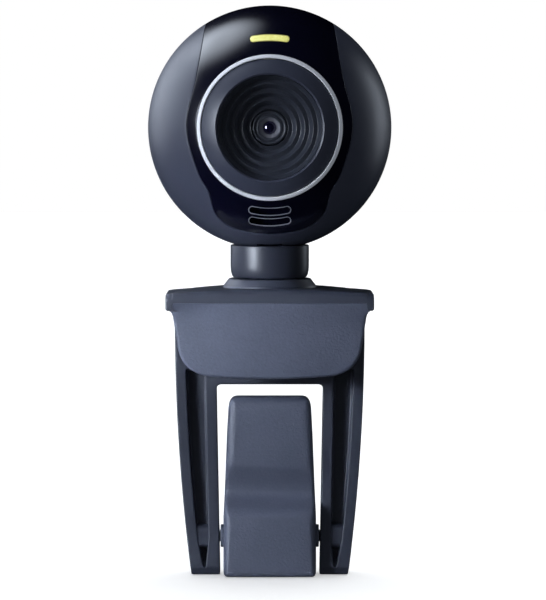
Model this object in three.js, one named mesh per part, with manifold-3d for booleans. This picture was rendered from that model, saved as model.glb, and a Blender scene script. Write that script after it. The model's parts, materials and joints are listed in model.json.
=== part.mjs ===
// A ball-headed webcam on a folding screen clip. Millimetres, +Z up, the lens looks along -Y.
// The origin is on the floor, straight below the centre of the head.
import * as THREE from "three";
import { mergeVertices } from "three/addons/utils/BufferGeometryUtils.js";
import Module from "manifold-3d";

const wasm = await Module();
wasm.setup();

// ---------------------------------------------------------------- driving sizes

// Fits
const FIT = 0.15; // gap each side of a piece that seats in another
const RUN = 0.3; // gap each side of a piece that moves past another
const SEAM = 0.12; // gap between the parts of the head's skin
const TOUCH = 0.02; // gap left between faces that rest on each other
const OVERCUT = 1; // how far a cutting tool runs past what it cuts

// Head
const HEAD_R = 30; // outer radius of the ball
const HEAD_WALL = 2;
const SHELL_SEAM_Y = 3; // where the front and rear shells meet

// Lens, from the outside in
const TRIM_R = 17.4; // outer radius of the silver ring
const TRIM_WIDTH = 1.15;
const TRIM_PROUD = 0.45; // how far the ring stands out of the ball
const CONE_WIDTH = 3.9; // the focus ring's domed face, from the silver ring to the hood's mouth
const CONE_BULGE = 0.45;
const HOOD_STEPS = 4;
const HOOD_STEP_DEPTH = 1.45;
const HOOD_WALL = 1.1;
const BARREL_R = 4.1; // rim of the lens barrel
const BARREL_THREAD_R = 3.5;
const BARREL_LENGTH = 8;
const BARREL_SUNK = 0.9; // from the hood's last step back to the barrel's rim
const GLASS_R = 1.9;

// Circuit board and what is on it
const BOARD_THICK = 1.2;
const BOARD_TO_BARREL = 2.2;
const BOARD_TO_SHELL = 5.9; // clear space round the board
const BOARD_BOSS_R = 2;
const BOARD_SCREW_AT = 12.4; // across and up from the lens axis
const HOLDER_SIZE = 12;
const HOLDER_BASE = 2.4;
const SENSOR = [6.4, 0.8, 5.6];
const CHIP = [8, 1, 8];
const SOCKET = [10, 4, 4.5];
const LED = [1.8, 0.9, 1.2];

// Status light and microphone slots in the face panel
const LIGHT_ABOVE_TRIM = 4.1;
const LIGHT_WIDTH = 9.4;
const LIGHT_BAR = 1.5;
const LIGHT_SAG = -0.3; // its ends lie below its middle
const MIC_SLOTS_BELOW_TRIM = [2.7, 5.3];
const MIC_SLOT_WIDTH = 10;
const MIC_SLOT_BAR = 1.7;
const MIC_SLOT_SAG = 0.45; // their ends lie above their middle
const MIC_BELOW_TRIM = 1;
const MIC_R = 2;
const MIC_LENGTH = 2;
const MIC_BOOT_WALL = 0.7;

// Screws
const SCREW_R = 0.85;
const SCREW_HEAD_R = 2.2;
const SCREW_HEAD = 0.9;
const SHELL_SCREW = { inset: 6.7, z: 9, seatY: 9, bossR: 2.2, collarR: 3.4 };

// Cable gland
const GLAND = { boreR: 2, neckR: 3, flangeR: 4.2, flange: 1.2 };

// Neck
const NECK_R = 9.7;
const NECK_HEIGHT = 8.3; // from its base to its rim
const NECK_TAPER = 0.85; // how much narrower its base is
const NECK_TAPER_HEIGHT = 3.1;
const NECK_WALL = 1.8;
const NECK_FLOOR = 2;
const POST_R = 2.8;
const SPIGOT_R = 4;
const CLAMP_R = 7.5;
const CLAMP_THICK = 1.6;
const SPRING_WASHER = { r: 3.1, thick: 0.35, wave: 0.25 };
const TILT_DOWN_DEG = 12;
const TILT_UP_DEG = 40;

// Clip bridge
const BRIDGE_HALF = 25.4; // half its width
const BRIDGE_FRONT = 13.2; // in front of the neck's axis
const BRIDGE_BACK = 11; // behind the neck's axis
const PLATE_THICK = 2.7;
const PLATE_CAMBER = 1.1; // the top falls this much towards each end
const ROLL_HEIGHT = 2.5; // the rounded front edge, below the ends of the plate
const ROLL_R = 1.8;
const EAR_HEIGHT = 4.2; // the thick ends of the front edge
const EAR_WIDTH = 1.6;
const EAR_DEPTH = 3.4;
const BOSS_SHELF = 1.25; // the boss shows this much round the neck's base
const BOSS_FLARE = 1.4;
const BOSS_HEIGHT = 2;
const SWIVEL_RECESS_R = 6.3; // under the plate
const SWIVEL_RECESS = 1.6;
const SWIVEL_WASHER = 0.5; // its thickness

// Front lip
const LIP_LENGTH = 18.4; // below the bridge's front roll
const LIP_THICK = 2.4;
const LIP_CROWN = 1.2; // how far its middle stands forward of its ends
const LIP_STEP = 0.25; // its face lies this far behind the roll
const PAD_THICK = 1;

// Leg hinge
const HINGE_Z = 66.3;
const HINGE_Y = 8;
const HINGE_R = 3.5; // round the pin
const HINGE_BELOW_PLATE = 3.1;
const HINGE_WASHER = 0.4;
const PIN_R = 1.2;
const KNUCKLE_WIDTH = 4.4;
const LUG_WIDTH = 4.1;

// Leg frame
const LEG_INSET = 1.7; // the frame's top is this much narrower each side than the bridge
const LEG_WIDTH_AT_FOOT = 7.1;
const LEG_DEPTH = 7.4;
const TOE_Y = 3.1; // middle of the frame's depth at the floor
const CROSSBAR_DROP = 13.8; // from the hinge down to the crossbar's top
const CROSSBAR_HEIGHT = 5.1;
const KNEE_DROP = 6.5; // the frame passes inside the knuckles from here down
const WINDOW_FLARE = 0.9; // the window is this much wider each side at its top
const WINDOW_CORNER = 1.1;
const GROOVE_DEPTH = 4;
const GROOVE_WALL = 2.65;
const GROOVE_END_Z = 2;

// Foot
const FOOT_HALF_BASE = 11.5;
const FOOT_TAPER = 1.5; // its top is this much narrower each side
const FOOT_GAP = 0.9; // to the leg frame, each side
const FOOT_TOP_GAP = 2.7; // to the crossbar
const FOOT_FLAT_Y = [-3.6, 3.6]; // the flat that it stands on
const PIVOT_Z = 9.6;
const PIVOT_Y = 2.4;
const PIVOT_PIN_R = 1.5;
const PIVOT_BOSS_R = 3.1; // in the grooves of the leg frame
const HUB_R = 2.85; // each side of the foot
const SOLE_THICK = 1;
const SOLE_RIM = 0.6; // the foot's plastic shows this much round the sole's long sides

// Facets round a full turn
const BALL_FACETS = 48;
const INNER_FACETS = 32;
const TURNED_FACETS = 40;
const MEDIUM_FACETS = 24;
const SMALL_FACETS = 20;
const SCREW_FACETS = 12;

// ---------------------------------------------------------------- derived places

const innerR = HEAD_R - HEAD_WALL;
const plateUnderZ = HINGE_Z + HINGE_BELOW_PLATE;
const plateTopZ = plateUnderZ + PLATE_THICK;
const bossTopZ = plateTopZ + BOSS_HEIGHT;
const neckBaseZ = bossTopZ + FIT;
const neckRimZ = neckBaseZ + NECK_HEIGHT;
const neckBaseR = NECK_R - NECK_TAPER;
const seatR = HEAD_R + RUN;
const headZ = neckRimZ + Math.sqrt(seatR ** 2 - NECK_R ** 2);
const postTopZ = headZ - innerR + 0.4;
const clampR = innerR - RUN - 0.2; // radius of the clamp's upper surface against the shells
const clampSeatZ = headZ - clampR + CLAMP_THICK + 0.4;

const earBottomZ = plateTopZ - PLATE_CAMBER - EAR_HEIGHT;
const lipTopZ = plateTopZ - PLATE_CAMBER - ROLL_HEIGHT;
const lipBottomZ = lipTopZ - LIP_LENGTH;
const lipFaceY = -BRIDGE_FRONT + LIP_STEP;
const lipBackY = lipFaceY + LIP_THICK;
const lipRib = {
  half: BRIDGE_HALF - 4,
  y: [lipFaceY + LIP_THICK / 3, lipFaceY + (2 * LIP_THICK) / 3],
  z: [lipTopZ - 1, plateUnderZ + 0.8],
};

const legHalfTop = BRIDGE_HALF - LEG_INSET;
const knuckleIn = legHalfTop - KNUCKLE_WIDTH;
const lugOut = knuckleIn - HINGE_WASHER - 0.2;
const lugIn = lugOut - LUG_WIDTH;
const windowHalfFoot = FOOT_HALF_BASE + FOOT_GAP;
const windowHalfTop = windowHalfFoot + WINDOW_FLARE;
const legHalfFoot = windowHalfFoot + LEG_WIDTH_AT_FOOT;
const crossbarTopZ = HINGE_Z - CROSSBAR_DROP;
const windowTopZ = crossbarTopZ - CROSSBAR_HEIGHT;
const footTopZ = windowTopZ - FOOT_TOP_GAP;

// How far in front of the ball's centre its surface is, at a distance from the lens axis.
const ballFront = (radius) => -Math.sqrt(HEAD_R ** 2 - radius ** 2);
const trimInnerR = TRIM_R - TRIM_WIDTH;
const focusR = trimInnerR - FIT;
const mouthR = focusR - CONE_WIDTH;
const mouthY = ballFront(mouthR) - 0.1;
const hoodHoleR = BARREL_R + RUN;
const barrelFrontY = mouthY + HOOD_STEPS * HOOD_STEP_DEPTH + BARREL_SUNK;
const barrelBackY = barrelFrontY + BARREL_LENGTH;
const boardFrontY = barrelBackY + BOARD_TO_BARREL;
const boardBackY = boardFrontY + BOARD_THICK;
const boardR = Math.sqrt(innerR ** 2 - boardFrontY ** 2) - BOARD_TO_SHELL;
const boardScrewSpots = [[-BOARD_SCREW_AT, BOARD_SCREW_AT], [BOARD_SCREW_AT, -BOARD_SCREW_AT]];
const shellScrewX = innerR - SHELL_SCREW.inset;
const lightZ = TRIM_R + LIGHT_ABOVE_TRIM;
const ledZ = boardR - 3;
const micZ = -(TRIM_R + MIC_BELOW_TRIM);
const micBootR = MIC_R + FIT + MIC_BOOT_WALL;
const micFrontY = -Math.sqrt(innerR ** 2 - (micBootR - micZ) ** 2) + RUN;
const micBackY = micFrontY + MIC_LENGTH;

// ---------------------------------------------------------------- solids

// A closed three.js geometry as a manifold-3d solid.
function solid(geometry) {
  const loose = geometry.index ? geometry.toNonIndexed() : geometry.clone();
  loose.deleteAttribute("normal");
  loose.deleteAttribute("uv");
  const merged = mergeVertices(loose, 1e-4);
  const index = merged.index.array;
  const kept = [];
  for (let i = 0; i < index.length; i += 3) {
    const [a, b, c] = index.slice(i, i + 3);
    if (a !== b && b !== c && c !== a) kept.push(a, b, c);
  }
  const vertProperties = merged.attributes.position.array;
  return new wasm.Manifold(new wasm.Mesh({ numProp: 3, vertProperties, triVerts: new Uint32Array(kept) }));
}

function geometryOf(made) {
  const mesh = made.getMesh();
  const geometry = new THREE.BufferGeometry();
  geometry.setAttribute("position", new THREE.BufferAttribute(new Float32Array(mesh.vertProperties), 3));
  geometry.setIndex(new THREE.BufferAttribute(new Uint32Array(mesh.triVerts), 1));
  geometry.computeVertexNormals();
  return geometry;
}

const join = (...parts) => parts.reduce((a, b) => a.add(b));
const cut = (body, ...tools) => tools.reduce((a, b) => a.subtract(b), body);
const bothSides = (made) => [made, made.mirror([1, 0, 0])];

// Evenly spaced values from one number to another.
function steps(from, to, count) {
  return Array.from({ length: count + 1 }, (_, i) => from + ((to - from) * i) / count);
}

// Turns an outline of [radius, y] points about +Y. It may run either way round.
function turned(points, facets = TURNED_FACETS) {
  const onAxis = points[0][0] === 0 && points.at(-1)[0] === 0;
  const ring = onAxis ? points : [...points, points[0]];
  const area = ring.reduce((sum, [r, y], i) => {
    const [nextR, nextY] = ring[(i + 1) % ring.length];
    return sum + r * nextY - nextR * y;
  }, 0);
  const ordered = area > 0 ? ring : [...ring].reverse();
  return solid(new THREE.LatheGeometry(ordered.map(([r, y]) => new THREE.Vector2(r, y)), facets));
}

// The same about +Z.
const turnedUpright = (points, facets) => turned(points, facets).rotate([90, 0, 0]);

// Cylinders along Y, Z and X, each between two places on its axis.
const rodOutline = (r, from, to) => [[0, from], [r, from], [r, to], [0, to]];

function rodY(r, from, to, x = 0, z = 0, facets = SMALL_FACETS) {
  return turned(rodOutline(r, from, to), facets).translate([x, 0, z]);
}

function rodZ(r, from, to, x = 0, y = 0, facets = SMALL_FACETS) {
  return turnedUpright(rodOutline(r, from, to), facets).translate([x, y, 0]);
}

function rodX(r, from, to, y = 0, z = 0, facets = SMALL_FACETS) {
  return turned(rodOutline(r, from, to), facets).rotate([0, 0, -90]).translate([0, y, z]);
}

function box([x0, x1], [y0, y1], [z0, z1]) {
  const made = solid(new THREE.BoxGeometry(x1 - x0, y1 - y0, z1 - z0));
  return made.translate([(x0 + x1) / 2, (y0 + y1) / 2, (z0 + z1) / 2]);
}

// A block of the given sizes, centred on x and z, with its front or rear face at y.
function block([w, d, h], y, z, behindY) {
  const span = behindY ? [y, y + d] : [y - d, y];
  return box([-w / 2, w / 2], span, [z - h / 2, z + h / 2]);
}

const ball = (r, facets) => solid(new THREE.SphereGeometry(r, facets, facets / 2));
const shapeOf = (points) => new THREE.Shape(points.map(([a, b]) => new THREE.Vector2(a, b)));

// A shape from the right half of an outline, listed from its top to its bottom.
function mirrored(half) {
  const left = half.filter(([x]) => x > 0).map(([x, z]) => [-x, z]).reverse();
  return shapeOf([...half, ...left]);
}

const extruded = (shape, depth, curveSegments) =>
  new THREE.ExtrudeGeometry(shape, { depth, bevelEnabled: false, curveSegments });

// A front view (x, z) extruded between two values of y.
function frontView(shape, y0, y1, curveSegments = 6) {
  return solid(extruded(shape, y1 - y0, curveSegments).rotateX(Math.PI / 2)).translate([0, y1, 0]);
}

// A side view (y, z) extruded between two values of x.
function sideView(shape, x0, x1, curveSegments = 6) {
  const upright = extruded(shape, x1 - x0, curveSegments).rotateX(Math.PI / 2).rotateZ(Math.PI / 2);
  return solid(upright).translate([x0, 0, 0]);
}

// A plan (x, y) extruded between two heights.
function planView(shape, z0, z1, curveSegments = 6) {
  return solid(extruded(shape, z1 - z0, curveSegments)).translate([0, 0, z0]);
}

// A level bar with round ends, whose ends lie higher than its middle by sag.
function bar(width, height, z, sag) {
  const r = height / 2;
  const half = width / 2 - r;
  const bow = (x) => z + sag * (x / half) ** 2;
  const lower = steps(-half, half, 6).map((x) => [x, bow(x) - r]);
  const upper = steps(half, -half, 6).map((x) => [x, bow(x) + r]);
  const end = (side) => steps(-Math.PI / 2, Math.PI / 2, 4).slice(1, -1)
    .map((turn) => [side * (half + r * Math.cos(turn)), bow(half) + side * r * Math.sin(turn)]);
  return shapeOf([...lower, ...end(1), ...upper, ...end(-1)]);
}

// A plate (x, second axis) with round corners.
function roundedPlate(half, from, to, corner) {
  const shape = new THREE.Shape();
  const quarter = Math.PI / 2;
  shape.absarc(half - corner, from + corner, corner, -quarter, 0);
  shape.absarc(half - corner, to - corner, corner, 0, quarter);
  shape.absarc(-half + corner, to - corner, corner, quarter, 2 * quarter);
  shape.absarc(-half + corner, from + corner, corner, 2 * quarter, 3 * quarter);
  return shape;
}

// A pan-head screw that points down, with its head's underside at z = 0 and a cross recess.
function screw(length) {
  const head = rodZ(SCREW_HEAD_R, 0, SCREW_HEAD);
  const shank = rodZ(SCREW_R, -length, TOUCH, 0, 0, SCREW_FACETS);
  const [arm, width] = [SCREW_HEAD_R * 0.55, SCREW_HEAD_R * 0.16];
  const depth = [SCREW_HEAD * 0.4, SCREW_HEAD + OVERCUT];
  const recess = join(box([-width, width], [-arm, arm], depth), box([-arm, arm], [-width, width], depth));
  return cut(join(head, shank), recess);
}

// A screw driven forwards, into what is in front of the given place.
const screwForwards = (length, x, y, z) => screw(length).rotate([-90, 0, 0]).translate([x, y + TOUCH, z]);

// ---------------------------------------------------------------- looks

function paint(color, roughness, metalness = 0) {
  return new THREE.MeshStandardMaterial({ color, roughness, metalness });
}

const looks = {
  satinBlack: paint(0x23262d, 0.42),
  glossBlack: paint(0x0b0c12, 0.12),
  clipPlastic: paint(0x3a3f4b, 0.6),
  grainedPlastic: paint(0x4c515f, 0.75),
  hoodBlack: paint(0x24272d, 0.7),
  silver: paint(0xbfc3cf, 0.35, 0.4),
  light: paint(0xd9e25a, 0.3),
  glass: paint(0x14181f, 0.05),
  rubber: paint(0x15161a, 0.9),
  board: paint(0x14532d, 0.6),
  component: paint(0x111214, 0.5),
  steel: paint(0x9a9da3, 0.35, 1),
};

function piece(name, made, material) {
  const mesh = new THREE.Mesh(geometryOf(made), material);
  mesh.name = name;
  return mesh;
}

// ---------------------------------------------------------------- head, about the ball's centre

const hollowBall = cut(ball(HEAD_R, BALL_FACETS), ball(innerR, INNER_FACETS));
const inTheWall = ball(innerR + HEAD_WALL / 2, INNER_FACETS);
const wide = [-2 * HEAD_R, 2 * HEAD_R];
const inFront = box(wide, [-2 * HEAD_R, SHELL_SEAM_Y], wide);
const behind = box(wide, [SHELL_SEAM_Y + SEAM, 2 * HEAD_R], wide);

// The face panel's edge: half its width at heights on the ball, as shares of the ball's radius.
const PANEL_EDGE = [
  [0.495, 1.1], [0.53, 0.76], [0.585, 0.4], [0.662, 0.02], [0.575, -0.34], [0.485, -0.51], [0.43, -0.69],
  [0.28, -0.81], [0, -0.856],
];

// Everything in front of the shell seam and inside the panel's edge, widened by a gap.
function panelTool(gap) {
  const knots = PANEL_EDGE.map(([x, z]) => new THREE.Vector2(x * HEAD_R, z * HEAD_R));
  const edge = new THREE.SplineCurve(knots).getPoints(24).map((at) => [at.x + gap, at.y - gap]);
  edge[edge.length - 1][0] = 0;
  return frontView(mirrored(edge), -HEAD_R - OVERCUT, SHELL_SEAM_Y);
}

// The slot under the ball that the neck's post slides along as the head tilts.
function tiltSlot() {
  const half = POST_R + RUN;
  const reach = 2 * HEAD_R;
  const end = (degrees, side) => {
    const turn = THREE.MathUtils.degToRad(degrees) + Math.asin(half / innerR);
    return [side * reach * Math.sin(turn), -reach * Math.cos(turn)];
  };
  return sideView(shapeOf([[0, 0], end(TILT_DOWN_DEG, -1), [0, -reach], end(TILT_UP_DEG, 1)]), -half, half);
}

function frontShell() {
  const { z, bossR } = SHELL_SCREW;
  const boss = rodY(bossR, -HEAD_R, SHELL_SEAM_Y - FIT, shellScrewX, z, SCREW_FACETS).intersect(inTheWall);
  const pilot = rodY(SCREW_R, SHELL_SEAM_Y - 7, SHELL_SEAM_Y, shellScrewX, z, SCREW_FACETS);
  const skin = cut(hollowBall.intersect(inFront), panelTool(SEAM));
  return cut(join(skin, ...bothSides(boss)), ...bothSides(pilot), tiltSlot());
}

function rearShell() {
  const { z, collarR, seatY } = SHELL_SCREW;
  const collar = rodY(collarR, SHELL_SEAM_Y + FIT, HEAD_R, shellScrewX, z).intersect(inTheWall);
  const seat = rodY(SCREW_HEAD_R + RUN, seatY, HEAD_R, shellScrewX, z);
  const hole = rodY(SCREW_R + FIT, 0, HEAD_R, shellScrewX, z, SCREW_FACETS);
  const glandHole = rodY(GLAND.neckR + FIT, 0, HEAD_R + OVERCUT);
  const glandSeat = rodY(GLAND.flangeR + FIT, HEAD_R - GLAND.flange - FIT, HEAD_R + OVERCUT);
  const skin = join(hollowBall.intersect(behind), ...bothSides(collar));
  return cut(skin, ...bothSides(seat), ...bothSides(hole), glandHole, glandSeat, tiltSlot());
}

const lightBar = (gap) => bar(LIGHT_WIDTH + 2 * gap, LIGHT_BAR + 2 * gap, lightZ, LIGHT_SAG);

function facePanel() {
  const bosses = boardScrewSpots.map(([x, z]) =>
    rodY(BOARD_BOSS_R, -HEAD_R, boardFrontY - TOUCH, x, z, SCREW_FACETS).intersect(inTheWall));
  const pilots = boardScrewSpots.map(([x, z]) =>
    rodY(SCREW_R, boardFrontY - 6, boardFrontY, x, z, SCREW_FACETS));
  const micSlots = MIC_SLOTS_BELOW_TRIM.map((drop) =>
    frontView(bar(MIC_SLOT_WIDTH, MIC_SLOT_BAR, -(TRIM_R + drop), MIC_SLOT_SAG), -HEAD_R, 0));
  const lensHole = rodY(TRIM_R + FIT, -HEAD_R - OVERCUT, 0, 0, 0, TURNED_FACETS);
  const sheet = hollowBall.intersect(inFront).intersect(panelTool(0));
  return cut(join(sheet, ...bosses), ...pilots, frontView(lightBar(FIT), -HEAD_R, 0), ...micSlots, lensHole);
}

function trimRing() {
  const back = ballFront(TRIM_R) + HEAD_WALL * 0.8;
  const inner = ballFront(trimInnerR) - TRIM_PROUD;
  const outer = ballFront(TRIM_R) - TRIM_PROUD;
  return turned([
    [trimInnerR, inner], [TRIM_R - 0.3, outer - 0.1], [TRIM_R, outer + 0.3], [TRIM_R, back],
    [trimInnerR, back],
  ]);
}

// A clear blade in the panel's slot, on a stalk that leads down to the status LED.
function lightGuide() {
  const bladeBackY = ballFront(lightZ) + 5;
  const blade = frontView(lightBar(0), -HEAD_R, bladeBackY).intersect(ball(HEAD_R, BALL_FACETS));
  const nearLedY = boardFrontY - LED[1] - 0.5;
  const stalk = shapeOf([
    [bladeBackY - 0.5, lightZ - LIGHT_BAR / 2], [nearLedY, ledZ - 1.2], [nearLedY, ledZ + 1.2],
    [bladeBackY, lightZ + LIGHT_BAR / 2 - 0.2],
  ]);
  return join(blade, sideView(stalk, -1.5, 1.5));
}

const microphone = () => rodY(MIC_R, micFrontY, micBackY, 0, micZ);

// A rubber cup that holds the capsule between the panel and the board.
function microphoneBoot() {
  const r = MIC_R + FIT;
  const floor = micBackY + FIT;
  const back = boardFrontY - TOUCH;
  const wireHole = MIC_R * 0.4;
  const outline = [
    [r, micFrontY], [micBootR, micFrontY], [micBootR, back], [wireHole, back], [wireHole, floor], [r, floor],
  ];
  return turned(outline, SMALL_FACETS).translate([0, 0, micZ]);
}

function circuitBoard() {
  const holes = boardScrewSpots.map(([x, z]) =>
    rodY(SCREW_R + FIT, boardFrontY - OVERCUT, boardBackY + OVERCUT, x, z, SCREW_FACETS));
  return cut(rodY(boardR, boardFrontY, boardBackY, 0, 0, TURNED_FACETS), ...holes);
}

// A square base round the sensor, with a tube that guides the lens barrel.
function lensHolder() {
  const tubeR = BARREL_THREAD_R + 1.5;
  const front = barrelBackY - BARREL_LENGTH / 2;
  const baseFront = boardFrontY - HOLDER_BASE;
  const base = block([HOLDER_SIZE, HOLDER_BASE - TOUCH, HOLDER_SIZE], boardFrontY - TOUCH, 0, false);
  const tube = rodY(tubeR, front, baseFront + TOUCH, 0, 0, MEDIUM_FACETS);
  const bore = rodY(BARREL_THREAD_R + FIT, front - OVERCUT, boardFrontY, 0, 0, MEDIUM_FACETS);
  const pocket = block([SENSOR[0] + 1.6, HOLDER_BASE - 1, SENSOR[0] + 1.6], boardFrontY, 0, false);
  return cut(join(base, tube), bore, pocket);
}

// A flanged rubber bush let into the rear shell, where the cable leaves.
function cableGland() {
  const { boreR, neckR, flangeR, flange } = GLAND;
  const face = HEAD_R - 0.1;
  const seat = HEAD_R - flange - FIT + TOUCH;
  const inside = Math.sqrt(innerR ** 2 - flangeR ** 2) - 0.3;
  return turned([
    [boreR, face], [flangeR - 0.4, face], [flangeR, face - 0.4], [flangeR, seat], [neckR, seat],
    [neckR, inside], [flangeR, inside], [flangeR, inside - 1], [boreR, inside - 1],
  ], MEDIUM_FACETS);
}

// ---------------------------------------------------------------- focus ring, hood and lens

function focusRing() {
  const outerY = ballFront(focusR) - 0.25;
  const back = outerY + 3;
  const hoodSeatR = mouthR + 1.4;
  return turned([
    [mouthR + 0.1, mouthY], [mouthR + 0.6, mouthY - 0.35],
    [(mouthR + focusR) / 2, (mouthY + outerY) / 2 - CONE_BULGE], [focusR, outerY], [focusR, outerY + 1.9],
    [(hoodSeatR + focusR) / 2, back], [hoodSeatR, back],
    [hoodSeatR, mouthY + 0.9], [mouthR + 0.1, mouthY + 0.6],
  ]);
}

// The stepped funnel: each step is a steep wall and a ledge that leans inwards.
function lensHood() {
  const lean = 0.35;
  const stepR = (mouthR - hoodHoleR) / HOOD_STEPS;
  const frontY = mouthY + 0.75;
  const funnel = steps(0, HOOD_STEPS, HOOD_STEPS).flatMap((i) => {
    const [r, y] = [mouthR - i * stepR, frontY + i * HOOD_STEP_DEPTH];
    return i < HOOD_STEPS ? [[r, y], [r - stepR / 4, y + HOOD_STEP_DEPTH - lean]] : [[r, y]];
  });
  const backY = frontY + HOOD_STEPS * HOOD_STEP_DEPTH + HOOD_WALL;
  const rimR = mouthR + 1.4 - FIT;
  return turned([
    ...funnel, [hoodHoleR, backY], [hoodHoleR + 2 * stepR, backY - 0.6 * HOOD_STEP_DEPTH],
    [mouthR - 0.4, mouthY + 4.2], [rimR, mouthY + 4.2], [rimR, mouthY + 1.05], [mouthR, mouthY + 1.05],
  ]);
}

function lensBarrel() {
  const f = barrelFrontY;
  const seatR = GLASS_R + FIT;
  const stopR = GLASS_R - 0.25;
  return turned([
    [stopR, f + 1], [GLASS_R + 0.7, f + 0.35], [GLASS_R + 0.8, f], [BARREL_R, f], [BARREL_R, f + 1.6],
    [BARREL_THREAD_R, f + 1.8], [BARREL_THREAD_R, barrelBackY], [seatR, barrelBackY], [seatR, f + 1.6],
    [stopR, f + 1.6],
  ], MEDIUM_FACETS);
}

// The front element: a domed face that shows through the barrel's stop, and a wider seat behind it.
function frontLens() {
  const seatY = barrelFrontY + 1.6 + TOUCH;
  const faceR = GLASS_R - 0.4;
  const dome = steps(0, faceR, 4).map((r) => [r, seatY - 1.3 + 0.3 * r ** 2]);
  return turned([...dome, [faceR, seatY], [GLASS_R, seatY], [GLASS_R, seatY + 1.6], [0, seatY + 1.6]],
    MEDIUM_FACETS);
}

// ---------------------------------------------------------------- neck, about the swivel axis

function neck() {
  const base = steps(0, Math.PI / 2, 4).map((turn) =>
    [neckBaseR + NECK_TAPER * Math.sin(turn), neckBaseZ + NECK_TAPER_HEIGHT * (1 - Math.cos(turn))]);
  const top = neckRimZ + 2 * OVERCUT;
  const outer = turnedUpright([[0, neckBaseZ], ...base, [NECK_R, top], [0, top]]);
  const cavity = rodZ(NECK_R - NECK_WALL, neckBaseZ + NECK_FLOOR, top + OVERCUT, 0, 0, INNER_FACETS);
  const ballSeat = ball(seatR, BALL_FACETS).translate([0, 0, headZ]);
  const post = rodZ(POST_R, neckBaseZ + 1, postTopZ);
  const spigotEndZ = plateUnderZ + SWIVEL_RECESS - FIT / 2;
  const spigot = rodZ(SPIGOT_R, spigotEndZ, neckBaseZ + 1, 0, 0, MEDIUM_FACETS);
  const tiltPilot = rodZ(SCREW_R, postTopZ - 5.5, postTopZ + OVERCUT, 0, 0, SCREW_FACETS);
  const swivelPilot = rodZ(SCREW_R, plateUnderZ, neckBaseZ + 0.8, 0, 0, SCREW_FACETS);
  return cut(join(cut(outer, cavity, ballSeat), post, spigot), tiltPilot, swivelPilot);
}

// The dished disc inside the ball that holds it down on the neck's rim.
function tiltClamp() {
  const dish = cut(ball(clampR, INNER_FACETS), ball(clampR - CLAMP_THICK, INNER_FACETS));
  const disc = dish.translate([0, 0, headZ]).intersect(rodZ(CLAMP_R, headZ - HEAD_R, headZ));
  const hub = rodZ(SPRING_WASHER.r + 0.3, clampSeatZ - 1, clampSeatZ, 0, 0, MEDIUM_FACETS);
  return cut(join(disc, hub), rodZ(SCREW_R + FIT, 0, headZ, 0, 0, SCREW_FACETS));
}

function waveWasher() {
  const { r, thick, wave } = SPRING_WASHER;
  const hole = SCREW_R + 0.4;
  const flat = turnedUpright([[hole, 0], [r, 0], [r, thick], [hole, thick]], MEDIUM_FACETS);
  const waved = flat.warp((v) => {
    v[2] += (wave / 2) * (1 + Math.cos(3 * Math.atan2(v[1], v[0])));
  });
  return waved.translate([0, 0, clampSeatZ + TOUCH]);
}

const tiltScrewZ = clampSeatZ + SPRING_WASHER.thick + SPRING_WASHER.wave + 2 * TOUCH;
const tiltScrew = () => screw(6.5).translate([0, 0, tiltScrewZ]);

const swivelWasherTopZ = plateUnderZ + SWIVEL_RECESS - FIT;

function swivelWasher() {
  const from = swivelWasherTopZ - SWIVEL_WASHER;
  const disc = rodZ(SWIVEL_RECESS_R - RUN, from, swivelWasherTopZ, 0, 0, MEDIUM_FACETS);
  return cut(disc, rodZ(SCREW_R + FIT, from - OVERCUT, bossTopZ, 0, 0, SCREW_FACETS));
}

const swivelScrew = () =>
  screw(4.6).rotate([180, 0, 0]).translate([0, 0, swivelWasherTopZ - SWIVEL_WASHER - TOUCH]);

// ---------------------------------------------------------------- clip

// Its side view: a plate whose front edge is rolled down over the lip.
function bridgeSide() {
  const side = new THREE.Shape();
  side.moveTo(BRIDGE_BACK, plateUnderZ);
  side.lineTo(lipBackY + 1.2, plateUnderZ);
  side.quadraticCurveTo(lipBackY, plateUnderZ, lipBackY, lipTopZ + FIT);
  side.lineTo(-BRIDGE_FRONT + 0.35, lipTopZ + FIT);
  side.quadraticCurveTo(-BRIDGE_FRONT, lipTopZ + 0.5, -BRIDGE_FRONT, lipTopZ + 1.2);
  side.lineTo(-BRIDGE_FRONT, plateTopZ - ROLL_R);
  side.quadraticCurveTo(-BRIDGE_FRONT, plateTopZ, -BRIDGE_FRONT + ROLL_R, plateTopZ);
  side.lineTo(BRIDGE_BACK, plateTopZ);
  return side;
}

// Its plan: the back corners are cut away for the knuckles of the legs to turn in.
function bridgePlan() {
  const notchY = HINGE_Y - HINGE_R - RUN;
  return mirrored([
    [lugOut, BRIDGE_BACK], [lugOut, notchY + 1], [lugOut + 1, notchY], [BRIDGE_HALF - 1.5, notchY],
    [BRIDGE_HALF, notchY - 2], [BRIDGE_HALF, -BRIDGE_FRONT],
  ]);
}

function lug() {
  const r = HINGE_R - 0.1;
  const rootZ = plateUnderZ + PLATE_THICK / 4;
  const side = new THREE.Shape();
  side.moveTo(HINGE_Y - r, rootZ);
  side.absarc(HINGE_Y, HINGE_Z, r, Math.PI, 2 * Math.PI);
  side.lineTo(BRIDGE_BACK, rootZ);
  return sideView(side, lugIn, lugOut);
}

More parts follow.
